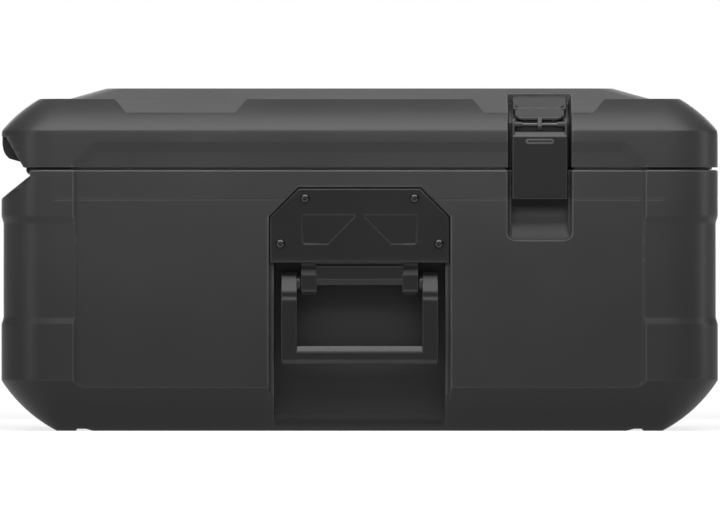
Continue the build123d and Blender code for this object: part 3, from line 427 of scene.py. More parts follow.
class NodeTree:
    """A small hand for wiring shader nodes."""

    def __init__(self, tree: bpy.types.NodeTree) -> None:
        """Keeps the tree.

        Args:
            tree: The node tree to add to.
        """
        self.tree = tree

    def add(self, kind: str, **settings: object) -> bpy.types.Node:
        """Adds a node.

        Args:
            kind: The node's type name.
            settings: Its properties.

        Returns:
            The new node.
        """
        node = self.tree.nodes.new(kind)
        for name, value in settings.items():
            setattr(node, name, value)
        return node

    def link(self, source: Socket, target: Socket) -> None:
        """Wires one socket to another."""
        self.tree.links.new(source, target)

    def noise(self, vector: Socket, scale: float, detail: float, rough: float = 0.5) -> Socket:
        """Adds a noise texture read at a vector.

        Args:
            vector: Where the noise is read.
            scale: Lumps per metre.
            detail: Octaves.
            rough: How much the finer octaves count.

        Returns:
            The noise's value.
        """
        node = self.add("ShaderNodeTexNoise")
        node.inputs["Scale"].default_value = scale
        node.inputs["Detail"].default_value = detail
        node.inputs["Roughness"].default_value = rough
        self.link(vector, node.inputs["Vector"])
        return node.outputs[0]

    def math(self, operation: str, *values: object) -> Socket:
        """Adds a math node.

        Args:
            operation: The node's operation.
            values: Sockets or numbers, in order.

        Returns:
            The node's output.
        """
        node = self.add("ShaderNodeMath", operation=operation)
        for socket, value in zip(node.inputs, values):
            if isinstance(value, Socket):
                self.link(value, socket)
            else:
                socket.default_value = value
        return node.outputs[0]

    def ramp(
        self, value: Socket, low: float, high: float, out_low: float, out_high: float
    ) -> Socket:
        """Maps a value from one range to another, held at the ends.

        Args:
            value: The value.
            low: Start of its range.
            high: End of its range.
            out_low: Result at the start.
            out_high: Result at the end.

        Returns:
            The node's output.
        """
        node = self.add("ShaderNodeMapRange", clamp=True)
        self.link(value, node.inputs["Value"])
        for socket, number in zip(node.inputs[1:5], (low, high, out_low, out_high)):
            socket.default_value = number
        return node.outputs["Result"]


class MouldedSkin:
    """The shared skin of moulded plastic: fine spark grain, faint clouds, scuffs, painted edge
    highlights.
    """

    NAME = "moulded_skin"

    @classmethod
    def group(cls) -> bpy.types.NodeTree:
        """Builds the group once.

        Returns:
            The node group. Its height is the grain, its colour is the base colour times one plus
            clouds and a painted edge highlight, and its roughness is base roughness plus clouds and
            scuffs.
        """
        found = bpy.data.node_groups.get(cls.NAME)
        if found:
            return found
        group = bpy.data.node_groups.new(cls.NAME, "ShaderNodeTree")
        face = group.interface
        for name, kind, value in (
            ("Base", "NodeSocketColor", (0.03, 0.03, 0.03, 1.0)),
            ("Roughness", "NodeSocketFloat", 0.4),
            ("Grain Scale", "NodeSocketFloat", 900.0),
            ("Cloud", "NodeSocketFloat", 0.08),
            ("Scuff", "NodeSocketFloat", 0.06),
            ("Edge", "NodeSocketFloat", 1.0),
        ):
            socket = face.new_socket(name, in_out="INPUT", socket_type=kind)
            socket.default_value = value
        for name, kind in (("Color", "Color"), ("Roughness", "Float"), ("Height", "Float")):
            face.new_socket(name, in_out="OUTPUT", socket_type=f"NodeSocket{kind}")
        wire = NodeTree(group)
        given = wire.add("NodeGroupInput").outputs
        made = wire.add("NodeGroupOutput").inputs
        place = wire.add("ShaderNodeTexCoord").outputs["Object"]

        grain = wire.noise(place, 0.0, 3.0, 0.6)
        wire.link(given["Grain Scale"], grain.node.inputs["Scale"])
        wire.link(grain, made["Height"])

        swing = wire.ramp(wire.noise(place, 9.0, 4.0, 0.55), 0.3, 0.7, -1.0, 1.0)
        # Painted highlight: colour raised along sharply bent edges, in patches
        highlit = wire.add("ShaderNodeAttribute", attribute_name="painted_edge_sheen").outputs["Fac"]
        patches = wire.ramp(wire.noise(place, 60.0, 3.0), 0.3, 0.6, 0.7, 1.0)
        cloudy = wire.math("MULTIPLY_ADD", swing, given["Cloud"], 1.0)
        patchy = wire.math("MULTIPLY", highlit, patches)
        shade = wire.math("MULTIPLY_ADD", patchy, given["Edge"], cloudy)
        tint = wire.add("ShaderNodeMix", data_type="RGBA", blend_type="MULTIPLY")
        tint.inputs[0].default_value = 1.0
        wire.link(given["Base"], tint.inputs[6])
        grey = wire.add("ShaderNodeCombineColor")
        for socket in grey.inputs[:3]:
            wire.link(shade, socket)
        wire.link(grey.outputs[0], tint.inputs[7])
        wire.link(tint.outputs[2], made["Color"])

        stretch = wire.add("ShaderNodeMapping")
        stretch.inputs["Scale"].default_value = (6.0, 6.0, 40.0)
        wire.link(place, stretch.inputs["Vector"])
        scuff = wire.ramp(wire.noise(stretch.outputs[0], 14.0, 5.0, 0.7), 0.58, 0.72, 0.0, 1.0)
        rough = wire.math("MULTIPLY_ADD", scuff, given["Scuff"], given["Roughness"])
        wire.link(wire.math("MULTIPLY_ADD", swing, 0.03, rough), made["Roughness"])
        return group


@dataclass(frozen=True)
class Finish:
    """What all finishes share.

    Attributes:
        name: The material's name, which is never that of a slot.
        base: Linear colour.
    """

    name: str
    base: Triple

    def material(self) -> bpy.types.Material:
        """Builds the material once.

        Returns:
            The material, with its surface and a bump of the surface's height.
        """
        found = bpy.data.materials.get(self.name)
        if found:
            return found
        made = bpy.data.materials.new(self.name)
        made.use_nodes = True
        made.diffuse_color = (*self.base, 1.0)
        wire = NodeTree(made.node_tree)
        shader = made.node_tree.nodes["Principled BSDF"].inputs
        height, strength, distance = self._surface(wire, shader)
        bump = wire.add("ShaderNodeBump")
        bump.inputs["Strength"].default_value = strength
        bump.inputs["Distance"].default_value = distance
        wire.link(height, bump.inputs["Height"])
        wire.link(bump.outputs[0], shader["Normal"])
        return made

    def _surface(self, wire: NodeTree, shader: Inputs) -> tuple[Socket, float, float]:
        """Wires colour and roughness, and returns the bump's height, strength and distance."""
        raise NotImplementedError


@dataclass(frozen=True)
class Moulding(Finish):
    """A finish of moulded plastic or rubber.

    Attributes:
        roughness: Base roughness.
        grain: Grain lumps per metre.
        depth: Strength of the grain's bump.
        specular: Specular level.
        cloud: How far the colour varies.
        scuff: How much rougher the scuffs are.
        edge: How much lighter the colour is along edges, a painted highlight.
    """

    roughness: float = 0.4
    grain: float = 900.0
    depth: float = 0.12
    specular: float = 0.5
    cloud: float = 0.08
    scuff: float = 0.06
    edge: float = 2.0

    def _surface(self, wire: NodeTree, shader: Inputs) -> tuple[Socket, float, float]:
        """Wires the moulded skin."""
        shader["Specular IOR Level"].default_value = self.specular
        skin = wire.add("ShaderNodeGroup", node_tree=MouldedSkin.group())
        given = ((*self.base, 1.0), self.roughness, self.grain, self.cloud, self.scuff, self.edge)
        for socket, value in zip(skin.inputs, given):
            socket.default_value = value
        wire.link(skin.outputs["Color"], shader["Base Color"])
        wire.link(skin.outputs["Roughness"], shader["Roughness"])
        return skin.outputs["Height"], self.depth, 0.0002


@dataclass(frozen=True)
class Steel(Finish):
    """A finish of drawn or blackened steel.

    Attributes:
        roughness: Base roughness.
        lines: Drawing lines per metre.
    """

    roughness: float = 0.32
    lines: float = 1500.0

    def _surface(self, wire: NodeTree, shader: Inputs) -> tuple[Socket, float, float]:
        """Wires clouds in the colour and fine lines in the roughness."""
        shader["Metallic"].default_value = 1.0
        place = wire.add("ShaderNodeTexCoord").outputs["Object"]
        lines = wire.noise(place, self.lines, 2.0)
        tone = wire.add("ShaderNodeMix", data_type="RGBA")
        wire.link(wire.noise(place, 120.0, 3.0), tone.inputs[0])
        for socket, factor in ((tone.inputs[6], 0.8), (tone.inputs[7], 1.15)):
            socket.default_value = (*[factor * channel for channel in self.base], 1.0)
        wire.link(tone.outputs[2], shader["Base Color"])
        rough = wire.ramp(lines, 0.3, 0.7, self.roughness - 0.06, self.roughness + 0.1)
        wire.link(rough, shader["Roughness"])
        return lines, 0.1, 0.0001


# edge is the strength of each finish's painted edge highlight
SHELL = Moulding(
    "shell_plastic", (0.030, 0.030, 0.031),
    roughness=0.36, grain=1100.0, depth=0.2, specular=0.28, edge=1.3,
)
HARDWARE = Moulding(
    "hardware_plastic", (0.0048, 0.0048, 0.0050), roughness=0.3, grain=1500.0, depth=0.1, edge=3.5
)
MARK = Moulding(
    "pale_mark", (0.03, 0.03, 0.031), roughness=0.45, grain=1500.0, depth=0.1, edge=0.8
)
RUBBER = Moulding(
    "seal_rubber", (0.012, 0.012, 0.012), roughness=0.75, grain=2200.0, depth=0.25, specular=0.3
)
PIN_STEEL = Steel("blackened_pin_steel", (0.12, 0.12, 0.123), roughness=0.38)
SCREW_STEEL = Steel("blackened_screw_steel", (0.07, 0.07, 0.073), roughness=0.2)
SPRING_STEEL = Steel("drawn_spring_steel", (0.5, 0.5, 0.51), roughness=0.25)

BASE_NODES = sorted(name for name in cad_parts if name.startswith("base_"))


@dataclass
class CasePlan:
    """The rounded rectangle that every ring of the two shells follows.

    A ring runs counter-clockwise seen from above: the near side, then the front, the far side and
    the rear, with a quarter circle of radius max(corner - inset, least) after each.
    """

    width: float = 617.0
    depth: float = 2.0 * HALF_DEPTH
    corner: float = 51.0
    least: float = 4.0
    arc_steps: int = 11

    def columns(self, side: Array, front: Array, rear: Array, corner: float) -> Array:
        """Lays the four faces' and four corners' values round a ring.

        Args:
            side: Values along a long side, from the rear to the front.
            front: Values along the front, from near to far.
            rear: Values along the rear, from near to far.
            corner: Value at the corners.

        Returns:
            One value for each column.
        """
        arc = np.full(self.arc_steps, corner)
        return np.concatenate([side, arc, front, arc, side[::-1], arc, rear[::-1], arc])

    def hold_rear(self, ring: Array, inset: float, spare: int = 0) -> Array:
        """Brings a ring's points that lie behind a rear inset forward to it.

        Args:
            ring: The ring, which is changed.
            inset: The rear inset.
            spare: Columns of the rear face where these stay as they are.

        Returns:
            The ring.
        """
        stop = inset - self.width / 2
        behind = ring[:, 0] < stop
        end = len(ring) - self.arc_steps
        behind[end - spare : end] = False
        ring[behind, 0] = stop
        return ring

    def inside(self, ring: Array, side: int, end: int) -> Array:
        """A flat grid on a ring's own columns that fills the rectangle inside it.

        Args:
            ring: The ring.
            side: Columns on a long side.
            end: Columns on an end.

        Returns:
            The grid's points.
        """
        x = ring[:side, 0]
        start = side + self.arc_steps
        y = ring[start : start + end, 1]
        flat = np.broadcast_arrays(x[None, :], y[:, None], ring[0, 2])
        return np.stack(flat, axis=-1).astype(float)

    def fitted(self, columns: Array, low: float, high: float, keep: float) -> Array:
        """Squeezes the outer columns so that they end at low and high, and keeps the middle."""
        right = keep + (columns - keep) * (high - keep) / (columns[-1] - keep)
        left = -keep + (columns + keep) * (low + keep) / (columns[0] + keep)
        return np.where(columns > keep, right, np.where(columns < -keep, left, columns))

    def ring(
        self, height: Array | float, inset: Array | float, across: Array, along: Array,
        radius: float | None = None, rear_extra: float = 0.0, keep: Pair = (190.0, 165.0),
    ) -> Array:
        """Places one ring.

        Args:
            height: Height of each column, or of all.
            inset: Inset of each column, or of all.
            across: Columns' places along the long sides.
            along: Columns' places along the front and rear.
            radius: Corner radius, if it isn't the plan's own.
            rear_extra: How much further in the rear is.
            keep: Half-lengths within which columns stay where they are.

        Returns:
            The ring's points.
        """
        steps = self.arc_steps
        size = 2 * len(across) + 2 * len(along) + 4 * steps
        inset = np.broadcast_to(np.asarray(inset, dtype=float), (size,))
        height = np.broadcast_to(np.asarray(height, dtype=float), (size,))
        cuts = np.cumsum([len(across), steps, len(along), steps] * 2)[:-1]
        near, first, front, _, far, _, rear, _ = np.split(inset, cuts)
        edge = float(first[0])
        bend = max(self.corner - edge, self.least) if radius is None else radius
        middle_x = self.width / 2 - edge - bend
        rear_x = middle_x - rear_extra
        middle_y = self.depth / 2 - edge - bend
        across = self.fitted(across, -rear_x, middle_x, keep[0])
        along = self.fitted(along, -middle_y, middle_y, keep[1])
        turn = np.arange(1, steps + 1) / (steps + 1) * math.pi / 2
        sine, cosine = bend * np.sin(turn), bend * np.cos(turn)
        half_x, half_y = self.width / 2, self.depth / 2
        x = np.concatenate([
            across, middle_x + sine, half_x - front, middle_x + cosine,
            across[::-1], -rear_x - sine, rear + rear_extra - half_x, -rear_x - cosine,
        ])
        y = np.concatenate([
            near - half_y, -middle_y - cosine, along, middle_y + sine,
            half_y - far, middle_y + cosine, along[::-1], -middle_y - sine,
        ])
        return np.stack([x, y, height], axis=1)


@dataclass
class Pocket:
    """The side handle's seat and the hand pocket under it.

    Attributes:
        half: Half width of the seat.
        top: Top of the seat.
        slant: Sum of half width and height on the seat's slanted corners.
        depth: Depth of the seat.
        hand_half: Half width of the hand pocket.
        hand_top: Its top.
        hand_depth: Its depth.
        brink: Rounding of the rims.
    """

    half: float = 77.9
    top: float = 209.4
    slant: float = 261.9
    depth: float = 9.0
    hand_half: float = 73.5
    hand_top: float = 147.0
    hand_depth: float = 34.5
    brink: float = 1.6

    def seat_edge(self, height: Array, out: Array | float) -> Array:
        """Half width of the seat's outline at a height, moved out.

        It is min(half, max(slant - height, its top)).
        """
        head = self.slant - self.top + (ROOT_TWO - 1.0) * out
        return np.minimum(self.half + out, np.maximum(self.slant + ROOT_TWO * out - height, head))

    def hand_edge(self, height: Array, out: Array | float, grow: float) -> Array:
        """Half width that the hand pocket's columns follow, straight and then beside the slant."""
        settled = 2.0
        beside = self.seat_edge(height, grow - settled) - self.half - grow + settled
        return self.hand_half + out + beside

    def sink(self, inset: Array, x: Array, height: float, grow: float) -> Array:
        """Adds the seat and the hand pocket to an inset.

        Args:
            inset: Inset without them.
            x: Places along the side.
            height: Height.
            grow: How far the outlines and depths are grown, for the inner wall.

        Returns:
            The inset with them.
        """
        out = np.abs(x)
        away = np.maximum(out - self.half, (out + height - self.slant) / ROOT_TWO)
        seat = np.maximum(away, height - self.top) - grow
        inset = inset + rounded_fall(seat, self.depth + grow - inset, self.brink)
        hand = np.maximum(out - self.hand_half, height - self.hand_top) - grow
        return inset + rounded_fall(hand, self.hand_depth + grow - inset, self.brink)


@dataclass
class LatchSlot:
    """The slot that a latch stands in, with the finger scoop at its foot.

    Attributes:
        middle: Its place along the side.
        half: Half width.
        depth: Depth.
        bottom: Its bottom.
        corner: Rounding of its two lower corners.
        scoop_radius: Radius of the scoop.
        scoop_centre: Centre of the scoop's arc (inset, height).
        brink: Rounding of the rim.
        draft: Run of the walls.
        step_width: Width of the step beside the lever.
        step_depth: Depth of that step.
        step_foot: Height that it ends at.
    """

    middle: float = LATCH_X
    half: float = SLOT_HALF
    depth: float = SLOT_BACK
    bottom: float = 163.4
    corner: float = 7.3
    scoop_radius: float = 46.6
    scoop_centre: Pair = (-26.1, 198.9)
    brink: float = 1.8
    draft: float = 0.8
    step_width: float = 2.9
    step_depth: float = 4.5
    step_foot: float = 150.0

    def edge(self, height: Array, grow: float) -> Array:
        """Half width at a height: a quarter circle at the foot, then straight."""
        low = np.clip(self.corner - (height - self.bottom + grow), 0.0, self.corner)
        return self.half + grow - self.corner + np.sqrt(self.corner**2 - low**2)

    def sink(self, inset: Array, x: Array, height: float, grow: float) -> Array:
        """Adds the slot to an inset, down to the scoop's arc or the slot's back.

        Args:
            inset: Inset without it.
            x: Places along the side.
            height: Height.
            grow: How far the outline and depth are grown, for the inner wall.

        Returns:
            The inset with it.
        """
        rise = min(height, self.scoop_centre[1]) - self.scoop_centre[1]
        floor = self.scoop_centre[0] + math.sqrt(max(self.scoop_radius**2 - rise**2, 0.0))
        beside = np.abs(x - self.middle) - self.half + self.corner
        below = self.bottom + self.corner - height
        away = corner_distance(beside, below, self.corner)
        full = np.maximum(min(floor, self.depth) + grow - inset, 0.0)
        first = np.minimum(full, self.step_depth + grow) if height > self.step_foot else full
        beside = np.abs(x - self.middle) - self.half
        inset = inset + rounded_fall(away - grow, first, self.brink, self.draft, 0.5)
        second = beside - grow + self.step_width
        return inset + rounded_fall(second, full - first, convex=0.2, draft=0.3, concave=0.1)


@dataclass
class BaseShell:
    """The base moulding, from its underside over the rim to the floor inside.

    Attributes:
        pocket: Handle seat and hand pocket.
        slot: Latch slot.
        edge_radius: Rounding of the rim's outer edge.
        line: Height, width and depth of the fine line round the base.
        foot_centre: Inset and height of the centre of the foot's bow.
        band: Bottom, top, ramp and depth of the shallow band round the pillars.
        panel_slope: Run of the panels' walls.
        side_panel: Half length of the panels on the long sides.
        end_panel: Half length of the panels on the ends.
        runner: Inner edge, outer edge and depth of the grooves under the case.
        notch: Height and inset of the hinge notch along the rear.
        lug_notch: The same where the lid's lugs stand.
        inner_notch: The same inside.
        inner_foot: Height below which the inner wall leans in, and how steeply.
        floor_ring: Inset of the innermost ring.
        seal: Inset and rise over the rim of its flat top with the seal's tongue.
    """

    plan: CasePlan = field(default_factory=CasePlan)
    pocket: Pocket = field(default_factory=Pocket)
    slot: LatchSlot = field(default_factory=LatchSlot)
    rim: float = 224.6
    wall: float = 4.0
    edge_radius: float = 1.5
    line: tuple[float, float, float] = (199.3, 0.6, 0.3)
    foot_centre: Pair = (104.67, 110.09)
    foot_radius: float = 124.0
    band: tuple[float, float, float, float] = (92.1, 184.9, 5.6, 1.8)
    panel_depth: float = 4.1
    panel_bottom: float = 37.5
    panel_slope: float = 3.8
    panel_corner: float = 7.0
    side_panel: float = 242.4
    end_panel: float = 193.9
    runner: tuple[float, float, float] = (229.8, 244.1, 1.7)
    notch: Outline = ((199.8, 0.0), (219.3, 24.8))
    lug_notch: Outline = (
        (193.3, 0.0), (197.7, 13.3), (203.5, 19.5), (216.4, 21.1), (219.3, 24.8), (220.1, 25.3),
        (220.8, 27.9), (221.8, 29.0), (223.2, 29.9), (224.6, 30.3),
    )
    inner_notch: Outline = ((187.0, 8.1), (188.6, 12.0), (215.3, 33.3), (220.6, 35.5))
    lug_middle: float = 130.0
    lug_half: float = 30.4
    inner_foot: Pair = (45.6, 0.998)
    inner_wall: float = 8.1
    floor: float = 4.0
    floor_ring: float = 54.0
    seal: Outline = (
        (26.9, 0.0), (27.0, 0.1), (27.0, 2.6), (27.15, 2.9), (27.4, 3.0), (28.6, 3.0), (28.85, 2.9),
        (29.0, 2.6), (29.0, 0.1), (29.2, 0.0), (32.3, 0.0), (32.8, -0.2), (33.0, -0.7),
        (33.0, -3.4), (33.3, -3.9), (33.6, -4.0),
    )

    def _foot(self, height: float) -> float:
        """Inset of the bowed foot: centre - sqrt(radius^2 - (height - centre height)^2)."""
        inset, level = self.foot_centre
        return inset - math.sqrt(self.foot_radius**2 - (min(height, level) - level) ** 2)

    def _band(self, height: float) -> float:
        """Depth of the shallow band round the pillars, with a ramp at both ends."""
        low, high, ramp, depth = self.band
        rise = 1.0 - soft_ramp(np.float64((height - low) / ramp))
        return float(depth * rise * soft_ramp(np.float64((height - high + ramp) / ramp)))

    def _plain(self, height: float, grow: float) -> float:
        """Inset of a pillar, outside or inside."""
        if grow > 0.0:
            return self.inner_wall + self.inner_foot[1] * max(self.inner_foot[0] - height, 0.0)
        return max(self._foot(height), self._band(height), 0.0)

    def _panelled(self, place: Array, height: float, half: float, grow: float) -> Array:
        """Inset of a face with its recessed panel, a rounded rectangle that is open at the top."""
        plain = self._plain(height, grow)
        if grow > 0.0:
            return np.full(len(place), plain)
        beside = np.abs(place) - half + self.panel_corner
        below = self.panel_bottom + self.panel_corner - height
        away = corner_distance(beside, below, self.panel_corner)
        panel = self.panel_depth * soft_ramp(away / self.panel_slope)
        middle, width, depth = self.line
        return np.maximum(panel, plain) + depth * math.exp(-(((height - middle) / width) ** 2))

    def _rear(self, place: Array, height: float, grow: float) -> Array:
        """Inset of the rear, with the hinge notch and the deeper pockets for the lid's two lugs."""
        line = self.inner_notch if grow > 0.0 else self.notch
        depth = np.interp(height, *np.transpose(line), left=0.0)
        inset = np.maximum(self._panelled(place, height, self.end_panel, grow), depth)
        if grow > 0.0:
            return inset
        lug = np.interp(height, *np.transpose(self.lug_notch), left=0.0)
        outside = np.abs(np.abs(place) - self.lug_middle) - self.lug_half
        return inset + rounded_fall(outside, lug - inset)

    def _columns(self, heights: Array, grow: float) -> tuple[Array, Array]:
        """Places of the columns on the long sides and on the ends.

        Args:
            heights: Heights of the rows.
            grow: How far the outlines are grown.

        Returns:
            Two arrays of rows by columns.
        """
        one = np.ones(len(heights))
        end = self.plan.width / 2 - self.plan.corner
        low, high, _ = self.runner
        panel_steps = (-1.0, 0.0, 0.5, 1.9, 3.3, 3.8, 4.8)
        on_foot = np.clip((30.0 - heights) / 20.0, 0.0, 1.0)
        panel = [self.side_panel + grow / 2 + step for step in panel_steps]
        runner = [high + step for step in (-1.5, -0.8, -0.1, 0.1, 0.8, 1.5, 2.5)]
        edges = [a * (1.0 - on_foot) + b * on_foot for a, b in zip(panel, runner)]
        seat = [self.pocket.seat_edge(heights, grow + out) for out in BRINK]
        hand = [self.pocket.hand_edge(heights, grow + out, grow) for out in BRINK]
        latch, middle = self.slot.edge(heights, grow), self.slot.middle
        outward = [(low - 0.1) * one, (high - 14.2) * one] + edges + [end * one]
        left = [-place for place in outward[::-1]]
        left += [-place for place in seat] + [-place for place in hand]
        right = hand[::-1] + seat[::-1] + [middle - latch - out for out in STEPPED_BRINK]
        right += [middle + latch + out for out in STEPPED_BRINK[::-1]] + outward
        across = spread(left + right, {7: 1, 9: 6, 29: 8, 49: 2, 59: 4, 69: 3, 71: 1})

        stop = self.plan.depth / 2 - self.plan.corner
        panel = [self.end_panel + grow / 2 + step for step in panel_steps]
        outer = [self.lug_middle + self.lug_half + out for out in BRINK]
        inner = [self.lug_middle - self.lug_half - out for out in BRINK]
        half = [place * one for place in inner + outer[::-1] + panel + [stop]]
        last = len(half) - 1
        fills = {7: 2, 17: 5, last: 10, 2 * last - 17: 5, 2 * last - 7: 2}
        return across, spread(mirrored(half), fills)

    def _wall_rings(self, heights: Array, grow: float) -> list[Array]:
        """Rings of the outer or the inner wall.

        Args:
            heights: Heights of the rings.
            grow: 0 outside, the wall thickness inside.

        Returns:
            The rings.
        """
        across, along = self._columns(heights, grow)
        line = np.transpose(self.inner_notch if grow > 0.0 else self.notch)
        rings = []
        for row, height in enumerate(heights):
            x, y = across[row], along[row]
            side = self._panelled(x, height, self.side_panel, grow)
            for sunk in (self.pocket, self.slot):
                side = sunk.sink(side, x, height, grow)
            front = self._panelled(y, height, self.end_panel, grow)
            rear = self._rear(y, height, grow)
            inset = self.plan.columns(side, front, rear, self._plain(height, grow))
            ring = self.plan.ring(height, inset, x, y)
            if height > line[0, 0]:
                self.plan.hold_rear(ring, np.interp(height, *line), len(y))
            if grow == 0.0:
                ring[:, 2] = np.maximum(ring[:, 2], self._runner(ring))
            rings.append(ring)
        return rings

    def _runner(self, points: Array) -> Array:
        """Height of the underside: two shallow grooves across it."""
        low, high, depth = self.runner
        out = np.abs(points[..., 0])
        return np.where((out > low) & (out < high), depth, 0.0)

    def build(self) -> bpy.types.Object:
        """Builds the base.

        Returns:
            The object.
        """
        maker = MeshMaker("base_moulding")
        rings = self._under() + self._wall_rings(self._outer_heights(), 0.0)
        across, along = self._columns(np.array([self.rim]), 0.0)
        sides, ends = across.shape[1], along.shape[1]
        bed = self.plan.inside(rings[0], sides, ends)
        bed[..., 2] = self._runner(bed)
        maker.grid(bed, flip=True)

        top = rings[-1]
        inward = self._inward(top)
        for turn in (18.0, 36.0, 54.0, 72.0, 90.0):
            angle = math.radians(turn)
            step = top + self.edge_radius * (1.0 - math.cos(angle)) * inward
            step[:, 2] = self.rim - self.edge_radius * (1.0 - math.sin(angle))
            rings.append(step)
        edge = rings[-1]
        seal = [
            self.plan.ring(
                self.rim + rise, inset, across[0], along[0], SEAL_TURN - inset, SEAL_EXTRA
            )
            for inset, rise in self.seal
        ]
        rings += [edge + share * (seal[0] - edge) for share in (0.15, 0.6, 0.93)] + seal

        inner = self._inner_heights()
        rings += self._wall_rings(inner, self.wall)
        across, along = self._columns(inner[-1:], self.wall)
        for inset, bend in ((51.5, 2.0), (self.floor_ring, 0.0)):
            rings.append(self.plan.ring(self.floor, inset, across[0], along[0], bend))
        maker.grid(np.stack(rings), loop_columns=True)
        maker.grid(self.plan.inside(rings[-1], sides, ends))
        self._fittings(maker)
        return maker.finish("base", "shell", SHELL, BASE_NODES)

    def _outer_heights(self) -> Array:
        """Heights of the outer wall's rings, from the bottom up."""
        return rows_of(
            [0.0, 0.7, 1.7, 3.0, 6.0, 10.0, 15.0, 20.0, 25.0, 29.0, 32.0, 34.0, 35.5, 36.7, 37.5],
            [38.3, 39.5, 41.0, 42.4, 43.3, 44.0, 45.0, 47.0, 60.0, 76.0, 88.0, 91.2, 92.1, 93.0],
            [94.9, 96.8, 97.7, 98.6, 110.0, 125.0, 140.0], self.pocket.hand_top + BRINK,
            [155.0, 160.0, 162.2, 163.0, 163.4, 164.0, 164.8, 165.6, 166.2, 167.2, 168.6, 170.8],
            [173.5, 177.0, 178.4, 179.3, 180.2, 182.1, 184.0, 184.9, 185.8, 189.0, 193.0, 193.4],
            [195.5, 197.7, 198.3, 198.8, 199.3, 199.8, 200.3, 201.5, 203.5, 206.0],
            self.pocket.top + BRINK, [214.5, 216.4, 218.4, 219.2, 219.6, 220.1, 220.8, 221.8],
            [223.0, self.rim - self.edge_radius],
        )

    def _inner_heights(self) -> Array:
        """Heights of the inner wall's rings, from the top down."""
        return rows_of(
            [self.floor, 7.0, 12.0, 20.0, 30.0, 38.0, 44.6, 45.6, 46.6, 60.0, 90.0, 120.0, 140.0],
            self.pocket.hand_top + self.wall + BRINK,
            [157.0, 159.4, 160.5, 162.5, 166.0, 170.0, 176.0, 182.0, 186.8, 188.6, 192.0, 200.0],
            [207.0, 216.5, 218.5, self.rim - self.wall], self.pocket.top + self.wall + BRINK,
        )[::-1]

    def _under(self) -> list[Array]:
        """Rings of the underside, from the inside out."""
        across, along = self._columns(np.zeros(1), 0.0)
        rings = []
        for inset, bend in ((self.floor_ring, 0.0), (50.5, 2.0)):
            ring = self.plan.ring(0.0, inset, across[0], along[0], bend)
            ring[:, 2] = self._runner(ring)
            rings.append(ring)
        return rings

    def _inward(self, ring: Array) -> Array:
        """Level unit directions that point into the case, square to a ring."""
        ahead = np.roll(ring, -1, axis=0) - np.roll(ring, 1, axis=0)
        inward = np.stack([-ahead[:, 1], ahead[:, 0], np.zeros(len(ring))], axis=1)
        return inward / np.maximum(np.linalg.norm(inward, axis=1, keepdims=True), 1e-9)

    def _fittings(self, maker: MeshMaker) -> None:
        """Adds the hinge ears, the screw bosses and the two catch bars.

        Args:
            maker: The mesh.
        """
        tube = ring_profile(4.5, 2.05, 7.0, 0.5)
        for middle in (-167.4, -92.6, 92.6, 167.4):
            maker.lathe(tube, on_hinge(middle), closed=True)
        boss = [(0.0, 0.0), (4.4, 0.0), (5.0, 0.6), (5.0, 20.0), (0.0, 20.0)]
        catch = [(12.0, 214.0), (24.0, 214.0), (24.0, 219.5), (12.0, 219.5)]
        for side in (-1, 1):
            for x, z in SCREW_PLACES:
                place = facing_side(side, HALF_DEPTH - 234.0, x, z)
                maker.lathe(boss, place, steps=24)
            maker.prism(catch, -20.0, 20.0, across_side(side, self.slot.middle), 0.6)


def placer(axes: Callable) -> Callable:
    """Turns a function from three flat arrays to x, y and z into one that gives points."""
    return lambda *flat: np.stack(axes(*flat), axis=-1)


def on_hinge(middle: float) -> Callable:
    """Places a turned piece (across, up, along) on the lid's hinge axis, along from the middle."""
    return placer(lambda a, b, c: (b + HINGE_X, middle + c, a + HINGE_Z))


def ring_profile(outer: float, bore: float, half: float, bevel: float) -> Outline:
    """Section of a short tube, as a closed loop of (radius, height) with bevelled outer rims."""
    rim = 0.15
    upper = [(outer, half - bevel), (outer - rim, half - rim), (outer - bevel, half), (bore, half)]
    return [(radius, -height) for radius, height in upper[::-1]] + upper


def across_side(side: int, middle: float) -> Callable:
    """Places (inset, height, along) on a long side.

    Args:
        side: -1 near, 1 far.
        middle: Where along is 0.

    Returns:
        A function from three arrays to points, which keeps outlines facing outwards.
    """
    return placer(lambda inset, z, a: (middle - side * a, side * (HALF_DEPTH - inset), z))


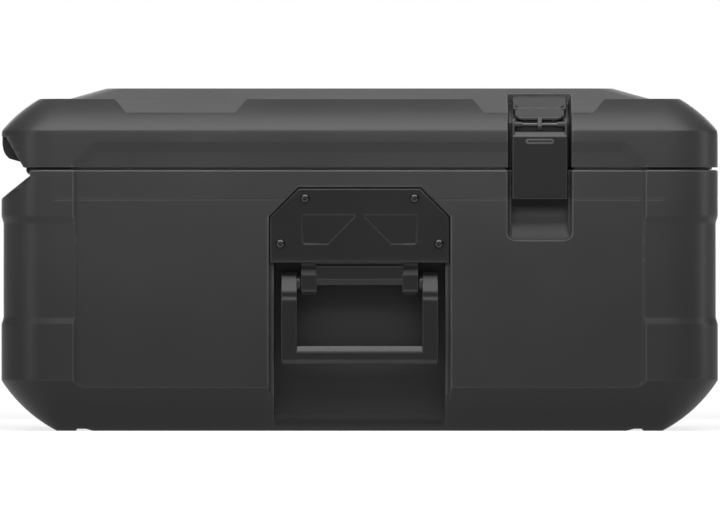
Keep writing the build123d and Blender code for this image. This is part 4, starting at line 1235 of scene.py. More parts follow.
@dataclass
class LidShell:
    """The lid moulding, from its ceiling down the inside, over its rim and up to the top field.

    A row has an inset and a height. On the shoulder, windows sink each row to the crown's plane,
    which runs on down between the pads. The latch channels sink it further.

    Attributes:
        bow_centre: Inset and height of the centre of the shoulder's bow.
        shoulder: Inset and height of the shoulder's edge.
        crown_foot: Inset of the crown's foot.
        crown_edge: Inset of the edge that is crown_top high.
        crown_slope: Rise of the crown for each millimetre of inset.
        crown_corner: Least corner radius on the crown.
        recess: Depth, side run, slanted run and top run of the skirt's recess.
        side_recess: Half length and slant of the recess on the long sides.
        side_window: Place of each window along the long sides.
        window_half: Half width of a window at window_inset.
        window_flare: How much that grows for each millimetre of inset.
        slot_back: Inset of the latch channel's back.
        channel_end: Inset of its upper end.
        edge_radius: Rounding of the rim's outer edge.
        skirt_edge: Softness of the edge over the skirt.
        ridge: How far the ridge under the rim reaches down.
        relief: Height and inset of the hinge relief along the rear.
        inner: Insets and heights of the inside.
        flange: Insets and heights of the flange and the gasket's groove.
        flange_inset: Inset of the flange's inner edge.
    """

    plan: CasePlan = field(default_factory=CasePlan)
    bottom: float = 226.8
    wall: float = 4.0
    skirt_top: float = 258.4
    bow_centre: Pair = (94.88, 178.55)
    bow_radius: float = 124.0
    shoulder: Pair = (32.8, 285.9)
    crown_foot: float = 57.93
    crown_edge: float = 90.0
    crown_top: float = 295.2
    crown_slope: float = 0.29
    crown_corner: float = 14.0
    field_corner: float = 16.0
    field_depth: float = 1.6
    recess: tuple[float, float, float, float] = (4.1, 3.6, 12.2, 8.6)
    recess_top: float = 239.9
    side_recess: Pair = (243.4, 465.2)
    end_recess: Pair = (194.9, 416.7)
    side_window: float = 154.0
    end_window: float = 112.0
    window_half: float = 46.5
    window_flare: float = 0.573
    window_inset: float = 15.6
    slot_middle: float = LATCH_X
    slot_half: float = SLOT_HALF
    slot_back: float = SLOT_BACK
    channel_end: float = 75.0
    channel_depth: float = 9.0
    edge_radius: float = 0.9
    skirt_edge: float = 1.3
    ridge: float = 1.8
    relief: Outline = ((226.8, 19.4), (253.6, 3.8), (253.75, 0.0))
    lug: Outline = (
        (229.6, 24.1), (231.3, 18.4), (232.6, 12.8), (234.7, 5.8), (238.0, 2.7), (241.6, 1.0),
        (247.1, 0.0),
    )
    lug_middle: float = 130.0
    lug_half: float = 30.0
    inner: Outline = ((8.1, 234.8), (8.1, 254.4), (20.4, 270.0), (94.0, 290.2))
    flange: Outline = (
        (33.3, 234.8), (33.0, 234.4), (33.0, 228.5), (32.7, 228.2), (31.3, 228.2), (31.0, 228.5),
        (31.0, 230.8),
    )
    flange_inset: float = 35.3
    behind_slot: float = 24.5
    behind_channel: float = 79.0

    def _crown(self, inset: Array | float) -> Array | float:
        """Height of the crown's plane at an inset."""
        return self.crown_top - self.crown_slope * (self.crown_edge - inset)

    def _bow(self, height: Array) -> Array:
        """Inset of the shoulder: 0 on the skirt, then an arc that leans in.

        It is (a + sqrt(a^2 + s^2)) / 2 for the arc's inset a, which runs on down below the skirt's
        top, and the edge's softness s.
        """
        rise = np.maximum(height, self.skirt_top) - self.bow_centre[1]
        below = np.maximum(self.skirt_top - height, 0.0)
        lean = self.bow_centre[0] - np.sqrt(self.bow_radius**2 - rise**2) - 0.84 * below
        return 0.5 * (lean + np.sqrt(lean**2 + self.skirt_edge**2))

    def _half_window(self, inset: Array) -> Array:
        """Half width of a window at an inset."""
        return np.maximum(self.window_half + self.window_flare * (inset - self.window_inset), 44.0)

    def _columns(self, insets: Array, heights: Array, grow: float) -> tuple[Array, Array]:
        """Places of the columns on the long sides and on the ends, for each row."""
        one = np.ones(len(heights))
        half = self._half_window(insets)
        steps = np.array([-0.28, 0.0, 0.14, 0.5, 0.86, 1.0, 1.28])
        back = np.clip((heights - 250.0) / 12.0, 0.0, 1.0)

        def slants(floor: float, slant: float, stop: float) -> list[Array]:
            """Columns along the recess's slanted corner, straight again above it."""
            _, side, diagonal, _ = self.recess
            places = []
            for step in steps:
                straight = floor + side * step
                lean = np.maximum(slant + diagonal * step - heights, stop + side * step)
                bent = np.minimum(straight, lean)
                places.append(bent + back * (straight - bent))
            return places

        slot = self.slot_half + grow
        edges = slants(*self.side_recess, self.side_recess[1] - self.recess_top)
        outward = [self.side_window + half + out for out in BRINK[::-1]] + edges + [257.5 * one]
        inner = [self.side_window - half - out for out in BRINK]
        channel = [(self.slot_middle - slot - out) * one for out in BRINK]
        channel += [(self.slot_middle + slot + out) * one for out in SLANTED_BRINK[::-1]]
        side = [-place for place in (inner + outward)[::-1]] + inner + channel + outward
        across = spread(side, {7: 1, 17: 5, 27: 8, 37: 1, 47: 4, 57: 1, 67: 1})

        edges = slants(*self.end_recess, self.end_recess[1] - self.recess_top)
        shift = np.clip((heights - 252.0) / 14.0, 0.0, 1.0)
        inner, outer = [], []
        for low, high in zip(BRINK[::-1], BRINK):
            lug = self.lug_middle - self.lug_half + low
            inner.append(lug + shift * (self.end_window - half - high - lug))
            lug = self.lug_middle + self.lug_half - high
            outer.append(lug + shift * (self.end_window + half + low - lug))
        half_end = inner + outer + edges + [209.0 * one]
        last = len(half_end) - 1
        fills = {7: 1, 17: 5, last: 9, 2 * last - 17: 5, 2 * last - 7: 1}
        return across, spread(mirrored(half_end), fills)

    def _recessed(
        self, place: Array, inset: float, height: float, floor: float, slant: float
    ) -> Array:
        """Inset with the skirt's recess, whose walls lean out and whose upper corners slant."""
        if inset >= 15.0:
            return np.full(len(place), inset)
        depth, side, diagonal, top = self.recess
        beside = (np.abs(place) - floor) / side
        above = (height - self.recess_top) / top
        corner = (np.abs(place) + height - slant) / diagonal
        recess = soft_ramp(np.maximum(np.maximum(beside, above), corner), 0.09)
        return np.maximum(inset, depth * recess)

    def _windowed(self, place: Array, middle: float, inset: float, height: float) -> Array:
        """Height of a row with its windows, min(pad, crown) inside them."""
        outside = np.abs(np.abs(place) - middle) - self._half_window(np.float64(inset))
        gap = height - self._crown(inset)
        depth = 0.5 * (gap + math.sqrt(gap**2 + 0.04)) if inset < self.crown_foot else 0.0
        return height - rounded_fall(outside, np.float64(depth), 0.8, 0.5, 0.5)

    def _channelled(
        self, x: Array, inset: Array, height: Array, row: Pair, grow: float
    ) -> tuple[Array, Array]:
        """Sinks a row to the latch channel's back wall or floor.

        Args:
            x: Places along the side.
            inset: Inset of each column.
            height: Height of each column.
            row: The row's inset and height without any detail.
            grow: 0 outside, the wall thickness inside.

        Returns:
            The columns' insets and heights.
        """
        back = self.slot_back if grow == 0.0 else self.behind_slot
        end = self.channel_end if grow == 0.0 else self.behind_channel
        depth = self.channel_depth + grow
        low = self.bottom if grow == 0.0 else self.inner[0][1]
        line = self._pad_line(grow)
        top = float(np.interp(back, line[:, 0], line[:, 1]))
        if row[0] < back:
            share = (row[1] - low) / (top - low)
            target = (back, low + max(share, 0.0) * (self._crown(back) - depth - low))
        else:
            target = (row[0], self._crown(row[0]) - depth)
        beside = np.abs(x - self.slot_middle) - self.slot_half - grow
        draft = np.where(x > self.slot_middle, 2.2, 0.4)
        full = np.full(len(x), self.channel_depth)
        share = rounded_fall(np.maximum(beside, row[0] - end), full, 0.9, draft, 0.6) / full
        return inset + share * (target[0] - inset), height + share * (target[1] - height)

    def _pad_line(self, grow: float) -> Array:
        """The row path that both latch maps share, outside or inside, as insets and heights."""
        if grow > 0.0:
            line = np.array(self.inner[1:])
            return np.vstack([[self.inner[0][0] - 0.01, self.inner[0][1]], line])
        heights = np.linspace(self.skirt_top, self.shoulder[1], 60)
        return np.stack([self._bow(heights), heights], axis=1)

    def _rear(self, y: Array, inset: float, height: float) -> Array:
        """Rear inset with the hinge relief and the two lugs, which reach down through it."""
        relief = np.interp(height, *np.transpose(self.relief), right=0.0)
        lug = np.interp(height, *np.transpose(self.lug), right=0.0)
        outside = np.abs(np.abs(y) - self.lug_middle) - self.lug_half
        if lug > relief:
            depth = relief + rounded_fall(outside, np.full(len(y), lug - relief))
        else:
            depth = lug + rounded_fall(-outside, np.full(len(y), relief - lug))
        return np.maximum(inset, depth)

    def _outer_rows(self) -> list[Pair]:
        """Insets and heights of the outside's rows, from the rim's edge to the crown's top.

        The rim's edge is the arc r (1 - sqrt(1 - (1 - rise / r)^2)), added to the inset.
        """
        r = self.edge_radius
        walls = rows_of(
            self.bottom + r * (1.0 - np.cos(np.radians([0.0, 30.0, 60.0, 90.0]))),
            [229.6, 230.4, 231.3, 232.6, 233.6, 234.7, 236.0, 237.6, 238.8, 239.5, 239.9, 240.3],
            [241.2, 242.2, 244.2, 246.2, 247.4, 248.5, 249.2, 251.0, 253.58, 253.76, 256.0, 257.8],
            [258.2, 258.6, 259.2, 261.0, 263.0, 265.0, 267.0, 269.0, 270.8, 272.2, 273.0, 273.6],
            [274.2, 275.2, 276.6, 278.2, 279.8, 281.4, 282.8, 284.0, 285.0],
        )
        rows = []
        for height in walls:
            below = 1.0 - min((height - self.bottom) / r, 1.0)
            edge = r * (1.0 - math.sqrt(max(1.0 - below**2, 0.0)))
            rows.append((float(self._bow(np.float64(height))) + edge, float(height)))
        reach, top = self.shoulder
        rows += [(reach - 0.45, top - 0.33), (reach + 0.1, top - 0.06), (reach + 0.8, top)]
        rows += [(inset, top) for inset in (36.0, 40.0, 44.0, 48.0, 52.0, 56.0, 57.6)]
        crown = np.concatenate([
            [58.3, 60.0, 64.0, 68.0, 71.5], self.channel_end + BRINK[::-1], [79.5, 82.0, 86.0, 89.4]
        ])
        return rows + [(float(inset), float(self._crown(inset))) for inset in crown]

    def _bend(self, inset: float) -> float | None:
        """Corner radius on the crown, or None further out, where the plan's own holds."""
        return None if inset < 34.0 else max(self.plan.corner - inset, self.crown_corner)

    def _outer(self) -> list[Array]:
        """Rings of the outside, from the rim's edge to the top field."""
        rows = self._outer_rows()
        across, along = self._columns(*np.transpose(rows), 0.0)
        rings = []
        for (inset, height), x, y in zip(rows, across, along):
            side = self._recessed(x, inset, height, *self.side_recess)
            front = self._recessed(y, inset, height, *self.end_recess)
            rear = self._rear(y, inset, height)
            side_z = self._windowed(x, self.side_window, inset, height)
            side, side_z = self._channelled(x, side, side_z, (inset, height), 0.0)
            end_z = self._windowed(y, self.end_window, inset, height)
            ring = self.plan.ring(
                self.plan.columns(side_z, end_z, end_z, height),
                self.plan.columns(side, front, rear, inset), x, y, self._bend(inset),
                keep=(228.0, 185.5) if inset < self.crown_foot else (190.0, 150.0),
            )
            relief = np.interp(height, *np.transpose(self.relief), right=0.0)
            rings.append(self.plan.hold_rear(ring, relief, len(y)))
        border = (
            (90.3, -0.04), (91.2, 0.0), (100.0, 0.0), (107.2, 0.0), (107.8, -0.2), (108.0, -0.6),
            (108.1, -1.2), (108.5, -1.5), (109.2, -1.6), (118.0, -1.6),
        )
        for inset, rise in border:
            share = min((inset - self.crown_edge) / 18.0, 1.0)
            bend = self.crown_corner + (self.field_corner - self.crown_corner) * share
            rings.append(self._top_ring(self.crown_top + rise, inset, bend, across, along))
        low = self.crown_top - self.field_depth
        return rings + [self._top_ring(low, 130.0, 0.0, across, along)]

    def _top_ring(
        self, height: float, inset: float, bend: float, across: Array, along: Array
    ) -> Array:
        """A ring on the top field, on the columns of the last row."""
        return self.plan.ring(height, inset, across[-1], along[-1], bend, keep=(150.0, 120.0))

    def _inner(self) -> list[Array]:
        """Rings of the inside, from the ceiling down to the flange."""
        line = np.array(self.inner)
        ceiling = float(line[-1, 1])
        flange = ([234.8, 257.7, 258.5], [self.flange_inset, 11.8, 0.0])
        slope = np.concatenate([
            self.behind_channel + BRINK, [72.0, 60.0, 48.0, 36.0, 27.0, 24.4, 21.0, 20.4]
        ])
        rows = [(94.0, ceiling), (93.0, 289.93), (88.0, 288.55)]
        rows += [(float(inset), float(np.interp(inset, *line[2:].T))) for inset in slope]
        rows += [(19.6, 268.98), (16.0, 264.4), (12.0, 259.35), (8.7, 255.2), (8.1, 254.0)]
        rows += [(8.1, height) for height in (250.0, 244.0, 239.0, 236.0, 234.8)]
        across, along = self._columns(*np.transpose(rows), self.wall)
        rings = [self.plan.ring(ceiling, 105.0, across[0], along[0], 0.0)]
        for (inset, height), x, y in zip(rows, across, along):
            level, plain = np.full(len(y), height), np.full(len(y), inset)
            side, side_z = self._channelled(
                x, np.full(len(x), inset), np.full(len(x), height), (inset, height), self.wall
            )
            slab = float(np.interp(height, *flange))
            ring = self.plan.ring(
                self.plan.columns(side_z, level, level, height),
                self.plan.columns(side, plain, np.maximum(plain, slab), inset), x, y,
                self._bend(inset),
            )
            rings.append(self.plan.hold_rear(ring, slab))
        return rings

    def _rim(self) -> list[Array]:
        """Rings of the flange, the gasket's groove and the rim's flat underside."""
        across, along = self._columns(np.array([0.0]), np.array([self.bottom]), self.wall)
        x, y = across[0], along[0]
        rings = [
            self.plan.ring(height, inset, x, y, SEAL_TURN - inset, SEAL_EXTRA)
            for inset, height in self.flange
        ]
        inside = self.inner[0][0]
        slot = np.abs(x - self.slot_middle) < self.slot_half + self.wall
        side = np.where(slot, self.behind_slot, inside)
        front, rear = np.full(len(y), inside), np.full(len(y), self.flange_inset)
        inset = self.plan.columns(side, front, rear, inside)
        for height, out in ((230.8, 0.0), (227.0, 0.0), (self.bottom, 0.2)):
            ring = self.plan.ring(height, inset + out, x, y)
            rings.append(self.plan.hold_rear(ring, self.flange_inset))
        return rings

    def build(self) -> bpy.types.Object:
        """Builds the lid.

        Returns:
            The object.
        """
        maker = MeshMaker("lid_moulding")
        inner, outer = self._inner(), self._outer()
        rim = self._rim()
        ridge = [rim[-1] + share * (outer[0] - rim[-1]) for share in (0.1, 0.16, 0.4, 0.46)]
        for ring in ridge[1:3]:
            ring[:, 2] -= self.ridge
        maker.grid(np.stack(inner + rim + ridge + outer), loop_columns=True)
        across, along = self._columns(np.array([0.0]), np.array([self.bottom]), 0.0)
        for ring, under in ((inner[0], True), (outer[-1], False)):
            maker.grid(self.plan.inside(ring, across.shape[1], along.shape[1]), flip=under)
        barrel = ring_profile(4.5, 2.05, 30.0, 0.6)
        for middle in (-self.lug_middle, self.lug_middle):
            maker.lathe(barrel, on_hinge(middle), closed=True)
        return maker.finish("lid", "shell", SHELL, ["lid_shell"])


def facing_side(side: int, inset: float, middle: float = 0.0, level: float = 0.0) -> Callable:
    """Places (across, up, outwards) on a long side's face.

    Args:
        side: -1 near, 1 far.
        inset: Where outwards is 0.
        middle: Where across is 0.
        level: Height where up is 0.

    Returns:
        A function from three arrays to points.
    """

    face = HALF_DEPTH - inset
    return placer(lambda a, b, out: (middle - side * a, side * (face + out), level + b))


def along_x(side: int, inset: float, height: float) -> Callable:
    """Places a turned piece whose axis lies along X at an inset and a height."""
    axis = side * (HALF_DEPTH - inset)
    return placer(lambda a, b, c: (c, axis + a, height + b))


def arc_outline(centre: Pair, radius: float, start: float, end: float, steps: int) -> list[Pair]:
    """Points on an arc about a centre, from one angle to another in degrees."""
    turn = np.radians(np.linspace(start, end, steps))
    return [(centre[0] + radius * math.cos(a), centre[1] + radius * math.sin(a)) for a in turn]


def pill_outline(half: float, low: float, high: float, bend: float) -> list[Pair]:
    """A rectangle from -half to half by low to high, with round corners of one radius."""
    outline = []
    corners = ((half, low, -90.0), (half, high, 0.0), (-half, high, 90.0), (-half, low, 180.0))
    for x, y, start in corners:
        centre = (x - math.copysign(bend, x), y + bend if y == low else y - bend)
        outline += arc_outline(centre, bend, start, start + 90.0, 9)
    return outline


@dataclass
class SidePiece:
    """What a handle and a latch share: the long side that they are on."""

    side: Side

    @property
    def tag(self) -> str:
        """The side's part of a node's name."""
        return self.side.tag


@dataclass
class Handle(SidePiece):
    """One side handle: the bracket, the bail, two pins and four screws.

    Attributes:
        plate: Insets of the bracket plate's front and back.
        half: Plate's half width.
        slant: Sum of half width and height on the plate's slanted corners.
        edge: Rounding of the plate's rim.
        field_inner: Inner edge of the two sunk fields at the top.
        field_foot: The same at the bottom.
        field_lean: Height for each millimetre across on their slanted inner edge.
        pivot: Inset and height of the bail's pins.
        lug: Inner and outer face of each lug.
        arm: Inner and outer face of each arm.
        ball: Radius of the screw heads' dome.
        socket: Radius of the circle through a socket's corners.
        lug_outline: Insets and heights round a lug.
        apron_outline: The same round the apron between the lugs.
        arm_outline: The same round an arm.
        bar_outline: The same round the grip bar.
    """

    plate: Pair = (4.6, 8.9)
    bottom: float = 144.5
    top: float = 208.8
    half: float = 77.3
    slant: float = 261.1
    edge: float = 1.9
    field_low: float = 160.4
    field_high: float = 186.0
    field_outer: float = 49.5
    field_inner: float = 4.0
    field_foot: float = 27.2
    field_depth: float = 0.7
    field_lean: float = 0.983
    pivot: Pair = (16.0, 127.0)
    lug: Pair = (36.6, 50.4)
    arm: Pair = (53.8, 67.6)
    head_radius: float = 4.1
    head_height: float = 2.7
    ball: float = 4.45
    socket: float = 1.7
    lug_outline: Outline = (
        (5.5, 144.5), (5.5, 148.8), (8.9, 148.8), (8.9, 146.5), (20.0, 146.5), (24.0, 142.5),
        (24.0, 120.5), (20.0, 116.5), (11.5, 116.5), (7.5, 120.5), (7.5, 134.5), (10.3, 140.5),
        (11.5, 140.5), (11.5, 144.5),
    )
    apron_outline: Outline = (
        (5.5, 144.5), (5.5, 148.8), (8.9, 148.8), (8.9, 146.5), (12.5, 146.5), (12.5, 127.5),
        (11.0, 124.5), (8.9, 126.0), (7.9, 130.5), (7.9, 141.5), (9.4, 143.0), (9.4, 144.5),
    )
    arm_outline: Outline = (
        (14.5, 137.0), (4.6, 119.6), (4.6, 115.3), (3.0, 112.7), (3.0, 60.3), (5.6, 57.7),
        (12.4, 57.7), (15.0, 60.3), (15.0, 108.0), (24.0, 118.0), (24.0, 133.0), (22.0, 137.0),
    )
    bar_outline: Outline = (
        (3.0, 60.3), (3.0, 68.0), (6.6, 73.6), (12.4, 73.6), (15.0, 71.0), (15.0, 60.3),
        (12.4, 57.7), (5.6, 57.7),
    )

    def build(self) -> list[bpy.types.Object]:
        """Builds the handle.

        Returns:
            Its new pieces.
        """
        dress(f"handle_pins_{self.tag}", PIN_STEEL)
        return [self._bracket(), self._bail(), self._screws()]

    def _bracket(self) -> bpy.types.Object:
        """The plate with its two sunk fields, the lugs and the apron."""
        maker = MeshMaker(f"bracket_{self.tag}")
        self._plate(maker)
        place = across_side(self.side.value, 0.0)
        for step in (-1.0, 1.0):
            ends = sorted((step * self.lug[0], step * self.lug[1]))
            maker.prism(soften(self.lug_outline, 1.2), *ends, place, 0.7)
        apron = soften(self.apron_outline, 0.6)
        maker.prism(apron, -self.lug[0] - 1.0, self.lug[0] + 1.0, place, 0.1)
        return maker.finish("base", "hardware", HARDWARE, [f"handle_bracket_{self.tag}"])

    def _plate(self, maker: MeshMaker) -> None:
        """The plate as one grid that folds back at its rim.

        The depth behind the front is the larger of the rim's arc and the sunk fields' fall.

        Args:
            maker: The mesh.
        """
        front, back = self.plate
        rim = np.array([0.0, 0.2, 0.8, 1.9])
        rows = np.concatenate([
            self.bottom + rim, [150.0, 156.0], self.field_low - BRINK, [168.0, 172.0, 176.0, 180.0],
            self.field_high + BRINK[::-1], [192.0, 200.0], self.top - rim[::-1],
        ])
        reach = np.minimum(self.half, self.slant - rows)
        lean = self.field_foot - (rows - self.field_low) * self.field_lean
        inner = np.clip(lean, self.field_inner, self.field_foot)
        half = [inner - 1.4 * out for out in BRINK]
        half += [self.field_outer + out for out in BRINK[::-1]]
        half = [np.clip(place, 0.5, reach - 2.3) for place in half]
        half += [reach - out for out in rim[::-1]]
        x = spread(mirrored(half), {3: 2, 13: 2, 23: 1, 33: 2, 43: 2})
        z = np.broadcast_to(rows[:, None], x.shape)
        out = np.abs(x)
        inside = np.minimum(np.minimum(self.top - z, z - self.bottom), reach[:, None] - out)
        near_rim = np.clip(1.0 - inside / self.edge, 0.0, 1.0)
        depth = self.edge * (1.0 - np.sqrt(1.0 - near_rim**2))
        slanted = self.field_foot - out - (z - self.field_low) * self.field_lean
        walls = [
            out - self.field_outer, self.field_low - z, z - self.field_high,
            slanted / math.hypot(1.0, self.field_lean), self.field_inner - out,
            (out - z - self.field_outer + self.field_low + 3.0) / ROOT_TWO,
        ]
        fall = rounded_fall(np.max(np.stack(walls), axis=0), np.full(x.shape, self.field_depth))
        depth = np.maximum(depth, fall)
        x, z = np.pad(x, 1, mode="edge"), np.pad(z, 1, mode="edge")
        depth = np.pad(depth, 1, constant_values=back - front)
        maker.grid(facing_side(self.side.value, front)(x, z, -depth))

    def _bail(self) -> bpy.types.Object:
        """Two arms with round bosses, and the grip bar."""
        maker = MeshMaker(f"bail_{self.tag}")
        place = across_side(self.side.value, 0.0)
        for step in (-1.0, 1.0):
            ends = sorted((step * self.arm[0], step * self.arm[1]))
            maker.prism(soften(self.arm_outline, 1.3), *ends, place, 1.1)
            low, high = self.lug[1] + 0.5, self.arm[0] + 1.0
            boss = [(0.0, low), (6.0, low), (6.5, low + 0.5), (6.5, high), (0.0, high)]
            if step < 0:
                boss = [(radius, -along) for radius, along in boss[::-1]]
            maker.lathe(boss, along_x(self.side.value, *self.pivot))
        reach = self.arm[0] + 1.3
        maker.prism(soften(self.bar_outline, 1.3), -reach, reach, place, 0.1)
        body, node = f"bail_{self.tag}", f"handle_bail_{self.tag}"
        return maker.finish(body, "hardware", HARDWARE, [node])

    def _screws(self) -> bpy.types.Object:
        """Four button heads with hexagonal sockets.

        Each is a stack of rings. The socket's radius at an angle is that of a hexagon,
        a cos(30) / cos((angle mod 60) - 30).
        """
        maker = MeshMaker(f"screws_{self.tag}")
        turn = np.arange(48) * 2.0 * math.pi / 48
        hexagon = self.socket * 0.866 / np.cos(np.mod(turn, math.pi / 3) - math.pi / 6)
        rings = [(0.0, -13.5), (1.6, -13.5), (2.0, -13.0), (2.0, 0.0), (4.0, 0.0)]
        rings.append((self.head_radius, 0.15))
        for radius in (4.05, 3.9, 3.6, 3.25, 2.9, 2.5, 2.1):
            dome = math.sqrt(self.ball**2 - radius**2)
            rings.append((radius, self.head_height - self.ball + dome))
        rings += [(hexagon * 1.1, self.head_height - 0.4), (hexagon, self.head_height - 0.55)]
        rings += [(hexagon, 0.9), (0.0, 0.8)]
        radius = np.stack([np.broadcast_to(ring[0], turn.shape) for ring in rings])
        out = np.broadcast_to(np.array([ring[1] for ring in rings])[:, None], radius.shape)
        for x, z in SCREW_PLACES:
            place = facing_side(self.side.value, self.plate[0], x, z)
            points = place(radius * np.cos(turn), radius * np.sin(turn), out)
            maker.grid(points, loop_columns=True)
        node = f"handle_screws_{self.tag}"
        return maker.finish("base", "screw_steel", SCREW_STEEL, [node])


@dataclass
class Latch(SidePiece):
    """One latch: the housing on the lid, the lever, the button, a pin and two springs.

    Attributes:
        middle: Its place along the side.
        half: Half width of the lever and the housing.
        pivot: Inset and height of the pin.
        crown: Height, slope and inset of a point on the plane that cap and button follow.
        cap: Insets of the cap's ends.
        cap_drop: How far cap and button lie under the crown's plane.
        pad_half: Half width of the raised pad on the cap.
        pad_end: Inset of its upper end.
        plinth: Underside and top of the plinth, below the crown's plane.
        post_half: Half width of the post in front of the button.
        bore_half: Where the lever's bosses begin.
        button: Insets of the button's ends.
        stem: Place across, inset and radius of the button's two stems.
        coil: Radius, wire radius and turns of the springs.
        travel: How far the button goes down. Not used.
        block_outline: Insets and heights round the pivot block.
        post_outline: The same round the post.
    """

    middle: float = LATCH_X
    half: float = 23.65
    pivot: Pair = (9.5, 263.5)
    back: float = 20.6
    crown: Triple = (296.77, 0.325, 90.0)
    cap: Pair = (39.0, 73.0)
    cap_drop: float = 1.5
    cap_half: float = 22.9
    pad_half: float = 21.2
    pad_end: float = 63.0
    pad_corner: float = 6.5
    plinth: Pair = (8.9, 7.0)
    block_half: float = 20.6
    post_half: float = 2.0
    bore_half: float = 15.2
    lever_bottom: float = 199.5
    shoulder: float = 253.2
    button: Pair = (11.5, 36.5)
    button_half: float = 21.0
    button_corner: float = 7.5
    button_thickness: float = 3.0
    stem: Triple = (12.0, 17.2, 1.2)
    coil: tuple[float, float, int] = (2.1, 0.3, 4)
    spring_foot: float = 263.1
    travel: float = 1.8
    block_outline: Outline = ((14.0, 256.0), (20.6, 256.0), (20.6, 267.9), (14.0, 266.2))
    post_outline: Outline = (
        (15.0, 260.5), (9.5, 258.6), (7.2, 258.6), (5.9, 262.0), (10.3, 270.1), (11.1, 270.1),
        (11.1, 265.7), (15.0, 265.7),
    )

    def build(self) -> list[bpy.types.Object]:
        """Builds the latch.

        Returns:
            Its new pieces.
        """
        dress(f"latch_pin_{self.tag}", PIN_STEEL)
        return [self._housing(), self._lever(), self._mark(), self._button(), self._springs()]

    def _crown(self, inset: Array | float) -> Array | float:
        """Height of the plane that cap and button follow, at an inset."""
        height, slope, edge = self.crown
        return height - slope * (edge - inset)

    def _crown_prism(
        self, maker: MeshMaker, outline: Outline, low: float, high: float, rounding: float
    ) -> None:
        """Adds a prism that stands on the crown's slope.

        Args:
            maker: The mesh.
            outline: Corner points (across, inset).
            low: Its underside, above the crown's plane.
            high: Its top.
            rounding: Radius of its rims.
        """
        side = self.side.value

        def on_slope(across: Array, inset: Array, above: Array) -> tuple[Array, Array, Array]:
            """Places (across, inset, height above the plane), mirrored on the far side."""
            y = side * (HALF_DEPTH - inset)
            return self.middle - side * across, y, self._crown(inset) + above

        maker.prism(outline, low, high, placer(on_slope), rounding)

    def _housing(self) -> bpy.types.Object:
        """Cap on the crown, plinth under the button, block and post."""
        maker = MeshMaker(f"latch_seat_{self.tag}")
        half, low, high = self.half, *self.cap
        plinth = [(-half, self.back), (half, self.back), (half, high), (-half, high)]
        self._crown_prism(maker, soften(plinth, 1.0), -self.plinth[0], -self.plinth[1], 0.3)
        half, cut = self.cap_half, 4.0
        cap = [
            (-half, low), (half, low), (half, high - cut), (half - cut, high), (cut - half, high),
            (-half, high - cut),
        ]
        self._crown_prism(maker, soften(cap, 2.4, 5), -8.0, -self.cap_drop - 0.9, 0.9)
        pad = pill_outline(self.pad_half, low + 0.6, self.pad_end, self.pad_corner)
        self._crown_prism(maker, pad, -4.0, -self.cap_drop, 1.0)
        place = across_side(self.side.value, self.middle)
        reach = self.block_half
        maker.prism(soften(self.block_outline, 0.5), -reach, reach, place, 0.5)
        reach = self.post_half
        maker.prism(soften(self.post_outline, 0.5), -reach, reach, place, 0.9, 4)
        return maker.finish("lid", "hardware", HARDWARE, [f"latch_housing_{self.tag}"])

    def _lever(self) -> bpy.types.Object:
        """Plate with a ledge, two cheeks round the pin and a hook."""
        name = f"lever_{self.tag}"
        maker = MeshMaker(name)
        low, high = self.lever_bottom, self.shoulder
        plate = [
            (1.5, low), (1.5, high), (5.8, high + 4.3), (7.5, high + 4.3), (7.5, high + 1.0),
            (5.5, high - 1.0), (5.5, low),
        ]
        place = across_side(self.side.value, self.middle)
        maker.prism(soften(plate, 0.9), -self.half, self.half, place, 1.2, 4)
        x = self.pivot[0]
        cheek = [(2.5, low + 4.0), (2.5, 256.6), (8.8, 268.2)]
        cheek += arc_outline(self.pivot, 4.8, 85.0, 0.0, 8)
        cheek += [(x + 3.8, high), (x + 1.0, high - 16.0), (x + 1.0, low + 8.0)]
        cheek.append((x - 1.0, low + 4.0))
        boss = arc_outline(self.pivot, 2.6, 0.0, 345.0, 24)
        for step in (-1.0, 1.0):
            ends = sorted((step * (self.half - 2.2), step * self.half))
            maker.prism(cheek, *ends, place, 0.7)
            ends = sorted((step * self.bore_half, step * (self.half - 1.5)))
            maker.prism(boss, *ends, place, 0.5)
        hook = [(3.5, low + 2.0), (8.5, low + 4.0), (11.6, 208.5), (11.6, 212.5), (3.5, 215.5)]
        maker.prism(soften(hook, 0.6), -14.0, 14.0, place, 0.5)
        return maker.finish(name, "hardware", HARDWARE, [f"latch_{name}"])

    def _mark(self) -> bpy.types.Object:
        """The rim of a shallow dish under the lever's ledge.

        Each ring of the dish is the same oval, grown by an offset: half ends of radius r + offset
        round (-a, 0) and (a, 0).
        """
        maker = MeshMaker(f"lever_mark_{self.tag}")
        height = self.shoulder - 4.3
        half_turns = [np.linspace(start, start + 180.0, 15) for start in (-90.0, 90.0)]
        turn = np.radians(np.concatenate(half_turns))
        centre = np.repeat([9.6, -9.6], 15)
        offset = np.array([-1.3, -0.2, 0.05, 0.3, 0.55, 0.75])[:, None]
        rise = np.array([-0.05, 0.2, 0.24, 0.24, 0.15, -0.05])[:, None]
        across = centre + (1.9 + offset) * np.cos(turn)
        up = (1.5 + offset) * np.sin(turn)
        place = facing_side(self.side.value, 1.5, self.middle, height)
        points = place(across, up, np.broadcast_to(rise, across.shape))
        maker.grid(points, loop_columns=True, flip=True)
        return maker.finish(f"lever_{self.tag}", "hardware", MARK, [])

